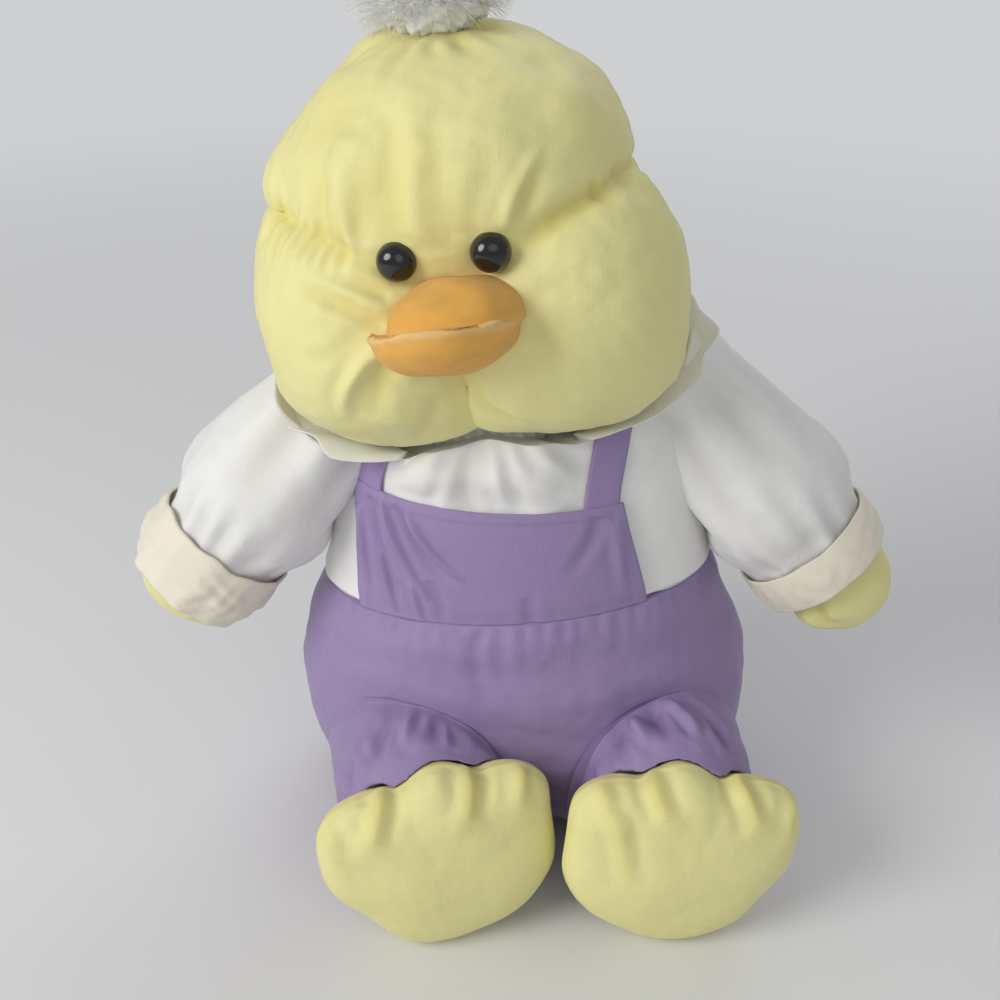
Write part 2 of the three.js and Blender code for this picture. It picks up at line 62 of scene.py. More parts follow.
class Recipe:
    """The node tree of a material or a world, built step by step."""

    def __init__(self, owner):
        owner.use_nodes = True
        self.owner = owner
        self.nodes = owner.node_tree.nodes
        self.links = owner.node_tree.links
        self.shader = self.nodes.get("Principled BSDF")

    def set(self, **values):
        sockets = {socket.name.lower().replace(" ", "_"): socket for socket in self.shader.inputs}
        for name, value in values.items():
            sockets[name].default_value = value

    def put(self, kind, inputs=None, **settings):
        made = self.nodes.new(kind)
        for name, value in settings.items():
            setattr(made, name, value)
        for name, value in (inputs or {}).items():
            if isinstance(value, bpy.types.NodeSocket):
                self.links.new(value, made.inputs[name])
            else:
                made.inputs[name].default_value = value
        return made

    def link(self, value, name):
        self.links.new(value, self.shader.inputs[name])

    def attribute(self, name, output="Fac"):
        return self.put("ShaderNodeAttribute", attribute_name=name).outputs[output]

    def math(self, operation, a, b):
        return self.put("ShaderNodeMath", {0: a, 1: b}, operation=operation).outputs[0]

    def mapped(self, vector, pace):
        return self.put("ShaderNodeMapping", {"Vector": vector, "Scale": pace}).outputs["Vector"]

    def noise(self, vector, pace, detail=3.0):
        inputs = {"Vector": self.mapped(vector, pace), "Scale": 1.0, "Detail": detail}
        return self.put("ShaderNodeTexNoise", inputs).outputs["Fac"]

    def span(self, value, low, high):
        inputs = {"Value": value, "To Min": low, "To Max": high}
        return self.put("ShaderNodeMapRange", inputs).outputs["Result"]

    def mix(self, share, a, b):
        return self.put("ShaderNodeMix", {0: share, 6: a, 7: b}, data_type="RGBA").outputs[2]

    def bump(self, height, distance, strength, under=None):
        inputs = {"Height": height, "Distance": distance, "Strength": strength}
        if under is not None:
            inputs["Normal"] = under
        return self.put("ShaderNodeBump", inputs).outputs["Normal"]

    def paint(self, colour, tone):
        toned = self.put("ShaderNodeHueSaturation", {"Color": colour, "Value": tone})
        self.link(toned.outputs["Color"], "Base Color")

    def camera_ray(self):
        return self.put("ShaderNodeLightPath").outputs["Is Camera Ray"]

    def show(self, share, first, second, end="Material Output"):
        """Ends the tree with a share of the second shader over the first."""
        mixed = self.put("ShaderNodeMixShader", {0: share, 1: first, 2: second})
        self.links.new(mixed.outputs[0], self.nodes[end].inputs["Surface"])

    def let_through(self, share, colour):
        """Lets part of the light through, as thin cloth and fur do."""
        veil = self.put("ShaderNodeBsdfTranslucent", {"Color": colour})
        self.show(share, self.shader.outputs[0], veil.outputs[0])


# Camera and stage

camera_place = (-0.0136, -0.475, 0.4225)
camera_pitch = 60  # degrees from straight down
camera_lens = 45.5
floor_size = 9.0
floor_colour = (0.78, 0.78, 0.785, 1)
air_colour = (0.86, 0.87, 0.89, 1)
air_light = 0.42  # how strongly the air lights the toy
air_seen = 0.72  # how bright it looks to the camera
fade_reach = (0.4, 1.5)  # metres from the toy over which the floor fades into the air
lamps = [  # name, place, target and width in metres, power in watts, and colour
    ("window", (-1.15, -0.75, 0.95), (-0.02, -0.03, 0.2), 0.9, 13, (1, 0.99, 0.97)),
    ("front", (0.35, -1.5, 1.2), (-0.02, 0, 0.18), 1.4, 3.4, (1, 1, 1)),
    ("back", (0.6, 1.3, 1.3), (0, 0, 0.2), 1.2, 6, (0.97, 0.98, 1)),
]


def add(name, data):
    made = bpy.data.objects.new(name, data)
    bpy.context.scene.collection.objects.link(made)
    return made


def make_camera():
    data = bpy.data.cameras.new("camera")
    data.lens = camera_lens
    data.sensor_width = 36
    data.clip_start = 0.01
    data.clip_end = 50
    camera = add("camera", data)
    camera.location = camera_place
    camera.rotation_euler = (rad(camera_pitch), 0, 0)
    bpy.context.scene.camera = camera


def make_world():
    world = bpy.data.worlds.new("studio")
    r = Recipe(world)
    airs = [r.put("ShaderNodeBackground", {"Color": air_colour, "Strength": strength}).outputs[0]
            for strength in (air_light, air_seen)]
    r.show(r.camera_ray(), *airs, end="World Output")
    bpy.context.scene.world = world


def make_floor():
    half = floor_size / 2
    mesh = bpy.data.meshes.new("floor")
    corners = [(-half, -half, 0), (half, -half, 0), (half, half, 0), (-half, half, 0)]
    mesh.from_pydata(corners, [], [(0, 1, 2, 3)])
    r = Recipe(bpy.data.materials.new("floor"))
    r.set(base_color=floor_colour, roughness=0.75)
    # Far away the camera sees the air's colour, and round the toy the lit floor
    place = r.put("ShaderNodeNewGeometry").outputs["Position"]
    away = r.put("ShaderNodeVectorMath", {0: place}, operation="LENGTH").outputs["Value"]
    reach = {"Value": away, "From Min": fade_reach[0], "From Max": fade_reach[1]}
    far = r.put("ShaderNodeMapRange", reach, interpolation_type="SMOOTHSTEP").outputs["Result"]
    air = r.put("ShaderNodeEmission", {"Color": air_colour, "Strength": air_seen}).outputs[0]
    r.show(r.math("MULTIPLY", far, r.camera_ray()), r.shader.outputs[0], air)
    mesh.materials.append(r.owner)
    add("floor", mesh)


def make_lamp(name, place, target, width, power, colour):
    data = bpy.data.lights.new(name, "AREA")
    data.shape = "DISK"
    data.size = width
    data.energy = power
    data.color = colour
    lamp = add(name, data)
    lamp.location = place
    lamp.rotation_euler = (Vector(target) - Vector(place)).to_track_quat("-Z", "Y").to_euler()


make_camera()
make_world()
make_floor()
for lamp in lamps:
    make_lamp(*lamp)
bpy.context.scene.view_settings.view_transform = "Standard"


# Materials

def nylon(name, colour, shade_colour, rough=0.46, alpha=1.0, thread=0.42, through=0.0):
    """Smooth woven nylon: fine threads, slubs along the warp, faint clouds, and a deeper colour in folds,
    which is painted shade.
    """
    r = Recipe(bpy.data.materials.new(name))
    weave = r.attribute("thread", "Vector")  # in millimetres along the cloth
    tight = r.mapped(weave, (1 / thread, 1 / thread, 1))
    wave = {"Vector": tight, "Scale": 0.5, "Distortion": 0.6, "Detail": 1.0}
    warp, weft = (r.put("ShaderNodeTexWave", wave, bands_direction=way).outputs["Fac"] for way in "XY")
    slubs = r.noise(weave, (1.1, 0.08, 1))
    picks = r.noise(weave, (0.07, 0.9, 1))
    clouds = r.noise(weave, (0.03, 0.03, 1))
    crumple = r.noise(weave, (0.16, 0.16, 1))
    streaks = r.math("ADD", slubs, picks)
    tone = r.span(r.math("ADD", streaks, clouds), 0.9, 1.08)
    # Painted shade: the colour turns towards the second colour where a point lies in a crease, seam or
    # hollow.
    r.paint(r.mix(r.attribute("fold_shade"), colour, shade_colour), tone)
    r.link(r.span(streaks, rough - 0.06, rough + 0.08), "Roughness")
    soft = r.bump(crumple, 0.0012, 0.35)
    slubbed = r.bump(streaks, 0.00012, 0.5, soft)
    r.link(r.bump(r.math("ADD", warp, weft), 0.00004, 0.6, slubbed), "Normal")
    r.set(specular_ior_level=0.45, sheen_weight=0.14, sheen_roughness=0.35, alpha=alpha)
    if through:
        r.let_through(through, colour)
    return r.owner


def velour(name, colour, shade_colour, highlight_colour):
    """Short-pile velour: matt, brushed lighter and darker in patches, darker in its folds as painted shade,
    and paler along the standing edge of its seam as a painted highlight.
    """
    r = Recipe(bpy.data.materials.new(name))
    place = r.attribute("thread", "Vector")
    pile = r.noise(place, (3.2, 3.2, 3.2), 4.0)
    brushed = r.noise(place, (0.11, 0.16, 1))
    tone = r.span(r.math("ADD", r.math("MULTIPLY", pile, 0.5), brushed), 0.78, 1.14)
    # Painted shade darkens its folds, and a painted highlight makes the seam's standing edge paler.
    r.paint(r.mix(r.attribute("rim_highlight"), r.mix(r.attribute("fold_shade"), colour, shade_colour), highlight_colour), tone)
    r.link(r.span(brushed, 0.85, 0.98), "Roughness")
    r.link(r.bump(pile, 0.00035, 0.8, r.bump(brushed, 0.0006, 0.3)), "Normal")
    r.set(specular_ior_level=0.2, sheen_weight=0.15, sheen_roughness=0.5)
    return r.owner


def polished(name, colour, rough):
    """Moulded plastic, polished, with faint handling marks."""
    r = Recipe(bpy.data.materials.new(name))
    place = r.put("ShaderNodeTexCoord").outputs["Object"]
    marks = r.noise(place, (900, 900, 900), 4.0)
    scuffs = r.noise(place, (260, 2600, 260), 2.0)
    worn = tuple(3 * c for c in colour[:3]) + (1,)
    r.link(r.span(marks, rough, rough + 0.07), "Roughness")
    r.link(r.mix(r.math("POWER", scuffs, 6.0), colour, worn), "Base Color")
    r.link(r.bump(marks, 0.00002, 0.15), "Normal")
    r.set(specular_ior_level=0.55, coat_weight=0.3, coat_roughness=0.08)
    return r.owner


def plume(name, colour, shade_colour):
    """Soft white fur, a little darker and warmer at its roots, which is painted shade among the strands."""
    r = Recipe(bpy.data.materials.new(name))
    streak = r.noise(r.attribute("thread", "Vector"), (0.9, 0.9, 0.9), 2.0)
    # Painted shade: the strands turn darker and warmer near their roots.
    r.paint(r.mix(r.attribute("fold_shade"), colour, shade_colour), r.span(streak, 0.92, 1.05))
    r.link(r.span(streak, 0.5, 0.7), "Roughness")
    r.set(specular_ior_level=0.3, sheen_weight=0.3)
    r.let_through(0.12, colour)
    return r.owner


# Each material's second colour is painted shade for its folds, seams and fur roots; the velour's third is a
# painted highlight.
yellow = nylon("yellow_nylon", (0.79, 0.745, 0.335, 1), (0.69, 0.59, 0.17, 1))
white = nylon("white_nylon", (0.80, 0.795, 0.78, 1), (0.62, 0.60, 0.56, 1), rough=0.5)
cream = nylon("cream_nylon", (0.80, 0.75, 0.62, 1), (0.62, 0.55, 0.42, 1), rough=0.52)
purple = nylon("lavender_nylon", (0.30, 0.225, 0.42, 1), (0.19, 0.13, 0.30, 1), rough=0.44)
sheer = nylon("sheer_nylon", (0.92, 0.92, 0.91, 1), (0.86, 0.86, 0.84, 1),
              rough=0.5, alpha=0.92, thread=0.7, through=0.18)
orange = velour("orange_velour", (0.80, 0.43, 0.09, 1), (0.60, 0.25, 0.04, 1), (0.88, 0.60, 0.26, 1))
black = polished("black_plastic", (0.008, 0.008, 0.009, 1), 0.12)
natural = polished("natural_plastic", (0.75, 0.74, 0.70, 1), 0.35)
fur = plume("white_fur", (0.95, 0.95, 0.93, 1), (0.84, 0.82, 0.76, 1))


# Working surfaces

deepest = 4  # millimetres of crease that give the full painted shade of the folds


def spun(axis, degrees):
    return np.array(Matrix.Rotation(rad(degrees), 3, axis))


def unit(vectors):
    return vectors / np.maximum(np.linalg.norm(vectors, axis=-1, keepdims=True), 1e-9)


def smooth(values, low, high):
    share = np.clip((values - low) / (high - low), 0, 1)
    return share * share * (3 - 2 * share)


def ripple(points, size, seed, count=28):
    """Smooth seeded noise of about -1 to 1, with features of about this size."""
    chance = np.random.default_rng(seed)
    ways = unit(chance.normal(size=(count, 3)))
    pace = 2 * np.pi / size * chance.uniform(0.7, 1.35, count)
    waves = np.sin((points @ ways.T) * pace + chance.uniform(0, 2 * np.pi, count))
    return waves.sum(1) / math.sqrt(count)


def curve(stops, steps=7):
    """Points on a smooth curve through these stops."""
    stops = np.asarray(stops, float)
    if len(stops) == 2:
        return np.linspace(stops[0], stops[1], steps + 1)
    ends = np.vstack([2 * stops[0] - stops[1], stops, 2 * stops[-1] - stops[-2]])
    made = []
    for a, b, c, d in zip(ends, ends[1:], ends[2:], ends[3:]):
        for t in np.linspace(0, 1, steps, endpoint=False):
            made.append(0.5 * (2 * b + (c - a) * t + (2 * a - 5 * b + 4 * c - d) * t**2
                               + (3 * b - a - 3 * c + d) * t**3))
    made.append(stops[-1])
    return np.array(made)


def nearest(points, line):
    """Each point's distance from a line of points, and how far along the line it lies, from 0 to 1."""
    lengths = np.linalg.norm(np.diff(line, axis=0), axis=1)
    starts = np.concatenate([[0], np.cumsum(lengths)])
    least = np.full(len(points), np.inf)
    along = np.zeros(len(points))
    for a, b, start, length in zip(line, line[1:], starts, lengths):
        if length < 1e-9:
            continue
        share = np.clip((points - a) @ (b - a) / length**2, 0, 1)
        distance = np.linalg.norm(points - a - share[:, None] * (b - a), axis=1)
        closer = distance < least
        least = np.where(closer, distance, least)
        along = np.where(closer, start + share * length, along)
    return least, along / starts[-1]


class Skin:
    """A closed cloth surface in millimetres, with how far into a crease each of its points lies, which paints
    shade, and how much painted highlight it has.
    """

    def __init__(self, points, faces):
        self.points = np.asarray(points, float)
        self.faces = [tuple(int(i) for i in face) for face in faces]
        # Painted shade in creases and hollows, the lift still to apply, and a painted highlight on standing
        # seam edges
        self.fold_shade = np.zeros(len(self.points))
        self.lift = np.zeros(len(self.points))
        self.rim_highlight = np.zeros(len(self.points))
        self.ways = None  # a sheet's own directions out of its front, on both faces
        self.triangles = np.array([(f[0], f[i], f[i + 1]) for f in self.faces for i in range(1, len(f) - 1)])

    def normals(self):
        a, b, c = (self.points[self.triangles[:, i]] for i in range(3))
        across = np.cross(b - a, c - a)
        total = np.zeros_like(self.points)
        for i in range(3):
            np.add.at(total, self.triangles[:, i], across)
        return unit(total)

    def crease(self, line, depth, width, peak=0.5, fade=0.7, lip=0.25):
        """A valley along a line, deepest at peak of its length, or a ridge where depth is negative."""
        line = np.asarray(line)
        reach = 4 * width
        near = np.all((self.points > line.min(0) - reach) & (self.points < line.max(0) + reach), axis=1)
        distance, along = nearest(self.points[near], line)
        strength = np.sin(np.pi * np.clip(along, 0, 1) ** (math.log(0.5) / math.log(peak))) ** fade
        valley = np.exp(-((distance / width) ** 2))
        lips = np.exp(-(((distance - 1.9 * width) / (0.9 * width)) ** 2))
        self.lift[near] -= depth * strength * (valley - lip * lips)
        # Painted shade in the valley
        self.fold_shade[near] += max(depth, 0) * strength * valley

    def dent(self, centre, depth, radius):
        """A round hollow, or a bulge where depth is negative."""
        distance = np.linalg.norm(self.points - np.asarray(centre), axis=1)
        hollow = np.exp(-((distance / radius) ** 2))
        self.lift -= depth * hollow
        # Painted shade in the hollow
        self.fold_shade += max(depth, 0) * 0.4 * hollow

    def gather(self, line, chance, depths, widths, **more):
        """A crease whose depth and width are drawn between these limits."""
        self.crease(line, chance.uniform(*depths), chance.uniform(*widths), **more)

    def settle(self):
        """Applies what the creases and dents have lifted so far."""
        ways = self.normals() if self.ways is None else self.ways
        self.points += ways * self.lift[:, None]
        self.lift[:] = 0

    def uneven(self, *waves, share=1.0):
        """Gives the surface a soft unevenness, from waves of (height, size, seed)."""
        lift = sum(height * ripple(self.points, size, seed) for height, size, seed in waves)
        self.points += self.normals() * (lift * share)[:, None]

    def rest(self):
        """Flattens what would sink below the table."""
        self.points[:, 2] = np.maximum(self.points[:, 2], 0)

    def moved(self, turn, place):
        self.points = self.points @ np.asarray(turn).T + np.asarray(place)
        return self

    def piece(self, name, material, slot):
        mesh = bpy.data.meshes.new(name)
        mesh.from_pydata((self.points * MM).tolist(), [], self.faces)
        mesh.materials.append(material)
        mesh.shade_smooth()
        # The painted shade and the painted highlight go to the materials as point attributes
        for label, values in (("fold_shade", self.fold_shade / deepest), ("rim_highlight", self.rim_highlight)):
            layer = mesh.attributes.new(label, "FLOAT", "POINT")
            layer.data.foreach_set("value", np.clip(values, 0, 1).astype(np.float32))
        lay_threads(mesh)
        made = add(name, mesh)
        return made


def read(items, what, kind, width):
    values = np.zeros(len(items) * width, kind)
    items.foreach_get(what, values)
    return values.reshape(-1, width)


def lay_threads(mesh):
    """Stores each face corner's place along the cloth, in millimetres, square on to the nearest main axis."""
    corner_point = read(mesh.loops, "vertex_index", np.int32, 1)[:, 0]
    places = read(mesh.vertices, "co", np.float32, 3)[corner_point] / MM
    normals = read(mesh.polygons, "normal", np.float32, 3)
    sizes = read(mesh.polygons, "loop_total", np.int32, 1)[:, 0]
    axis = np.repeat(np.abs(normals).argmax(1), sizes)
    rows = np.arange(len(places))
    first = places[rows, np.where(axis == 0, 1, 0)]
    second = places[rows, np.where(axis == 2, 1, 2)]
    laid = np.stack([first, second, np.zeros(len(places))], axis=1)
    threads = mesh.attributes.new("thread", "FLOAT_VECTOR", "CORNER")
    threads.data.foreach_set("vector", laid.astype(np.float32).ravel())


def ball_skin(place, fineness=6):
    """A closed skin from a fine ball of directions, each of which place() turns into a point."""
    shape = bmesh.new()
    bmesh.ops.create_icosphere(shape, subdivisions=fineness, radius=1)
    ways = unit(np.array([v.co for v in shape.verts]))
    faces = [[v.index for v in f.verts] for f in shape.faces]
    shape.free()
    return Skin(place(ways), faces)


def quads(rows, columns, spans):
    """The four corners of each face of a grid of points, with this many faces in a row."""
    for a in range(0, (rows - 1) * columns, columns):
        for i in range(spans):
            k = (i + 1) % columns
            yield a + i, a + k, a + columns + k, a + columns + i


def grid_skin(place, around, rows):
    """A closed skin from place(turn, rise), with turn from 0 to 2 pi and rise from 0 to 1, pole to pole."""
    turns = np.linspace(0, 2 * np.pi, around, endpoint=False)
    rises = np.linspace(0, 1, rows + 1)[1:-1]
    rise, turn = np.meshgrid(rises, turns, indexing="ij")
    poles = place(np.zeros(2), np.array([0.0, 1.0]))
    points = np.vstack([place(turn.ravel(), rise.ravel()), poles])
    count = around * len(rises)
    faces = list(quads(len(rises), around, around))
    last = count - around
    for i in range(around):
        k = (i + 1) % around
        faces.append((count, k, i))
        faces.append((count + 1, last + i, last + k))
    return Skin(points, faces)


def sheet_skin(front, thickness, closed=False):
    """A skin round both faces of a sheet, from its front face as a grid of points [rows, columns, 3]."""
    rows, columns = front.shape[:2]
    across = np.gradient(front, axis=1)
    up = np.gradient(front, axis=0)
    out = unit(np.cross(across, up))
    points = np.concatenate([front.reshape(-1, 3), (front - out * thickness).reshape(-1, 3)])
    back = rows * columns
    faces = []
    spans = columns if closed else columns - 1
    for quad in quads(rows, columns, spans):
        faces.append(quad)
        faces.append(tuple(back + c for c in reversed(quad)))

    def close(a, b, flip):
        edge = (a, back + a, back + b, b)
        faces.append(edge[::-1] if flip else edge)

    for first, flip in ((0, False), (back - columns, True)):
        for i in range(spans):
            close(first + i, first + (i + 1) % columns, flip)
    if not closed:
        for first, flip in ((0, True), (columns - 1, False)):
            for a in range(first, back - columns, columns):
                close(a, a + columns, flip)
    skin = Skin(points, faces)
    skin.ways = np.concatenate([out.reshape(-1, 3)] * 2)
    return skin


def walk(profile, count=400):
    """Gives the radius and height at any share of the way along a profile."""
    profile = np.asarray(profile, float)
    steps = np.concatenate([[0], np.cumsum(np.linalg.norm(np.diff(profile, axis=0), axis=1))])
    even = np.linspace(0, steps[-1], count)
    shares = np.linspace(0, 1, count)
    stops = [np.interp(even, steps, profile[:, i]) for i in range(2)]
    return lambda share: [np.interp(share, shares, values) for values in stops]


def turned_skin(profile, around, rows):
    """A closed skin turned about Z from a profile of (radius, height) that starts and ends on the axis."""
    at = walk(profile)

    def place(turn, rise):
        radius, height = at(rise)
        return np.stack([radius * np.cos(turn), radius * np.sin(turn), height], axis=-1)

    return grid_skin(place, around, rows)


def arc(radius, height, rise, steps=14):
    """Profile stops from the side at a height to the axis at height + rise."""
    turn = np.linspace(0, np.pi / 2, steps)
    return [(radius * math.cos(t), height + rise * math.sin(t)) for t in turn]


def round_point(angle, radius, height):
    """A point round the Z axis, at an angle in radians."""
    return np.array([math.cos(angle) * radius, math.sin(angle) * radius, height])


# Pieces, each with the CAD nodes that it stands for

def stuffed(skin, name, material, slot, body, *nodes, fill=0.7):
    made = skin.piece(name, material, slot)
    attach(made, body)
    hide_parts(*nodes)


def bending(skin, name, material, slot, node, place, way, reaches):
    """A stuffed limb, baked into the world's frame. The two distances along its way from its joint give its
    ends, which nothing uses.
    """
    made = skin.piece(name, material, slot)
    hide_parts(node)
    start, end = (tuple((place + way * reach) * MM) for reach in reaches)
    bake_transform(made)
    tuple(start)
    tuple(end)


def cloth(skin, name, material, slot, body, node, **laid):
    made = skin.piece(name, material, slot)
    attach(made, body)
    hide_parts(node)


# Head: a crown, two cheeks and a nape, sewn to each other along deep seams

neck = next(joint for joint in frame["joints"] if joint["name"] == "neck_turn")
head_place = np.array(neck["pos_m"]) / MM
head_turned = spun("Y", -7.5) @ spun("Z", -4) @ spun("X", -2)
head_lobes = [  # middle and half sizes
    ((0, 4, 26), (66, 66, 54)),
    ((32, -6, -15), (50, 60, 54)),
    ((-32, -6, -15), (50, 60, 54)),
    ((0, 18, -4), (73, 56, 56)),
]
lobe_squareness = 2.15
lobe_blend = 1.2
seam_depth = 2.8
seam_width = 2.6
seam_depth_lost = 2.1  # how much shallower the seams are on the face
cup_radius = 84.4  # of the round space in which the head turns
cup_depth = 57.4
cup_middle = -15  # height of its widest ring, in the head's frame
cup_squareness = 3
head_swing = 16  # degrees, a little more than it turns to either side
room_turn = 4  # degrees of azimuth in a cell of the head's swept room
room_rise = 3  # degrees of elevation in a cell
pole_cells = 78  # degrees of elevation from which a whole ring counts as one cell
neck_radius = 30
neck_top = -36
neck_pleats = 34
head_swells = [  # azimuth and elevation in degrees, then how far the fill swells there and how wide, in mm
    (-127, 74, 3.8, 17),
    (-97, 52, -5.5, 13),
    (-78, 27, 5.2, 15),
    (-68, -13, -2.8, 15),
    (-50, -41, -2.2, 15),
    (-44, 50, -3.0, 15),
    (-3, -55, 6.0, 14),
    (-2, -40, 2.0, 9),
    (60, 57, -1.6, 7),
    (63, 45, 1.5, 10),
    (67, -31, 4.4, 18),
    (94, 12, -4.0, 10),
]
head_folds = [  # depth (less than 0 is a ridge), width, peak and lip, then stops of azimuth and elevation
    # Brow: soft folds that fan up from between the eyes
    (1.8, 6, 0.3, 0.25, [(-14, 20), (-13, 31), (-14, 44), (-17, 54)]),
    (1.5, 6.5, 0.3, 0.25, [(0, 16), (1, 28), (0, 42), (-2, 55)]),
    (1.2, 5, 0.3, 0.25, [(9, 19), (14, 30), (20, 42)]),
    (-1.3, 5, 0.4, 0.25, [(-8, 21), (-6, 33), (-5, 47), (-9, 60)]),
    (-1.6, 2.4, 0.4, 0.25, [(19, 20), (24, 27), (30, 33), (37, 38)]),
    (1.4, 4, 0.4, 0.25, [(24, 21), (29, 28), (36, 34)]),
    (-1.4, 5, 0.35, 0.25, [(-34, 20), (-31, 30), (-34, 41), (-40, 52)]),
    (1.6, 6, 0.35, 0.25, [(-26, 20), (-23, 32), (-24, 44)]),
    (1.5, 5, 0.35, 0.25, [(-41, 20), (-40, 30), (-43, 39)]),
    # Seam from the left eye to the notch
    (1.6, 4, 0.5, 0.1, [(19, 15), (32, 19), (44, 21), (56, 21), (70, 19)]),
    # Folds that pull from the corners of the beak
    (2.0, 2.6, 0.3, 0.5, [(-19, -4), (-26, 1), (-34, 5), (-44, 8)]),
    (1.5, 2.3, 0.3, 0.5, [(-18, 4), (-26, 8), (-34, 10)]),
    (-2.2, 2.5, 0.35, 0.25, [(-20, -9), (-27, -14), (-33, -21), (-37, -29)]),
    (2.0, 4.5, 0.35, 0.25, [(-19, -13), (-24, -20), (-29, -29)]),
    (0.9, 3.2, 0.35, 0.25, [(-21, -2), (-30, -7), (-40, -12)]),
    (1.0, 3.5, 0.3, 0.25, [(21, -6), (27, -12), (31, -20)]),
    (0.7, 4.0, 0.3, 0.25, [(21, 0), (30, 2), (40, 3)]),
    # Chin
    (1.2, 5.0, 0.5, 0.1, [(-2, -22), (-4, -34), (-6, -48), (-7, -60)]),
    (1.5, 2.6, 0.35, 0.25, [(3, -30), (6, -38), (13, -42), (24, -44)]),
    (0.8, 3.5, 0.4, 0.25, [(-9, -30), (-16, -40), (-25, -46)]),
]


def reach_of(ways, centre, half, squareness):
    """How far each direction from the origin goes before it leaves a rounded box."""
    low = np.zeros(len(ways))
    high = np.full(len(ways), 200.0)
    for _ in range(26):
        mid = (low + high) / 2
        inside = (np.abs((ways * mid[:, None] - centre) / half) ** squareness).sum(1) < 1
        low = np.where(inside, mid, low)
        high = np.where(inside, high, mid)
    return low


def head_reach(ways):
    """The head's radius in each direction from its middle, and how far from a seam that direction lies."""
    reaches = np.stack([reach_of(ways, c, h, lobe_squareness) for c, h in head_lobes])
    furthest = reaches.max(0)
    whole = lobe_blend * np.log(np.exp((reaches - furthest) / lobe_blend).sum(0)) + furthest
    ordered = np.sort(reaches, axis=0)
    between = ordered[-1] - ordered[-2]
    depth = seam_depth - seam_depth_lost * smooth(-ways[:, 1], 0.2, 0.7)
    return whole - depth * np.exp(-((between / seam_width) ** 2)), between


def to_head(ways):
    """Where directions from its middle meet the head."""
    return ways * head_reach(ways)[0][:, None]


def head_way(azimuth, elevation):
    """Direction from the middle of the head: azimuth 0 is the face, and positive is to the chick's left."""
    a, e = np.radians(azimuth), np.radians(elevation)
    return np.stack([np.sin(a) * np.cos(e), -np.cos(a) * np.cos(e), np.sin(e)], axis=-1)


def on_head(stops, steps=7):
    """A line on the head through stops of (azimuth, elevation) in degrees, in the head's own frame."""
    return to_head(head_way(*curve(stops, steps).T))


def bearings(points):
    """Azimuth and elevation in degrees, and distance, of points in the head's frame."""
    x, y, z = np.moveaxis(points, -1, 0)
    flat = np.hypot(x, y)
    return np.degrees(np.arctan2(x, -y)), np.degrees(np.arctan2(z, flat)), np.hypot(flat, z)


def swept_room(points):
    """How far the head reaches in each cell of directions, however far it has turned."""
    azimuth, elevation, reach = bearings(points)
    swept = np.zeros((180 // room_rise, 360 // room_turn))
    rows = np.minimum((elevation + 90) // room_rise, len(swept) - 1).astype(int)
    columns = (azimuth % 360 // room_turn).astype(int)
    np.maximum.at(swept, (rows, columns), reach)
    cells = head_swing // room_turn
    swept = np.max([np.roll(swept, turn, axis=1) for turn in range(-cells, cells + 1)], axis=0)
    heights = np.arange(len(swept)) * room_rise - 90
    swept = np.where(np.abs(heights)[:, None] > pole_cells, swept.max(1, keepdims=True), swept)
    swept = (np.roll(swept, 1, axis=1) + swept + np.roll(swept, -1, axis=1)) / 3
    swept[1:-1] = (swept[:-2] + 2 * swept[1:-1] + swept[2:]) / 4
    return swept


def head_room(points):
    """How far the head can reach towards each of some points in its own frame."""
    azimuth, elevation, _reach = bearings(points)
    column = azimuth % 360 / room_turn - 0.5
    row = np.clip((elevation + 90) / room_rise - 0.5, 0, len(room) - 1.01)
    i, j = np.floor(column).astype(int), np.floor(row).astype(int)
    across, up = column - i, row - j
    i, k = i % room.shape[1], (i + 1) % room.shape[1]
    lower = room[j, i] * (1 - across) + room[j, k] * across
    upper = room[j + 1, i] * (1 - across) + room[j + 1, k] * across
    return lower * (1 - up) + upper * up


def clear_of_head(points, gap):
    """Pushes points out of the head, and to a gap from it."""
    local = (points - head_place) @ head_turned
    reach = np.maximum(np.linalg.norm(local, axis=-1), 1e-6)
    least = head_room(local) + gap
    local = local * (np.maximum(reach, least) / reach)[..., None]
    return local @ head_turned.T + head_place


def gather_head(skin):
    """Short gathers at the right temple, along the left seam, and round the tuft."""
    chance = np.random.default_rng(5)
    for azimuth in np.arange(-66, -30, 4.2):
        low = 11 + chance.uniform(-2, 2)
        high = 26 + chance.uniform(-3, 5)
        lean = chance.uniform(-2, 4)
        line = on_head([(azimuth, low), (azimuth + lean * 0.4, 18), (azimuth + lean, high)])
        skin.gather(line, chance, (1.3, 2.3), (1.6, 2.3), fade=0.9, lip=0.6)
    for azimuth in np.arange(52, 84, 5.0):
        lean = chance.uniform(-3, 3)
        line = on_head([(azimuth, 13), (azimuth + lean, 20), (azimuth + 2 * lean, 27)])
        skin.gather(line, chance, (0.3, 0.8), (2.0, 3.0), lip=0.5)
    for azimuth in np.arange(0, 360, 24.0):
        turn = azimuth + chance.uniform(-7, 7)
        length = chance.uniform(12, 26)
        line = on_head([(turn, 84), (turn + chance.uniform(-4, 4), 84 - length)], 8)
        skin.gather(line, chance, (0.8, 1.8), (2.2, 3.6), peak=0.3, lip=0.5)


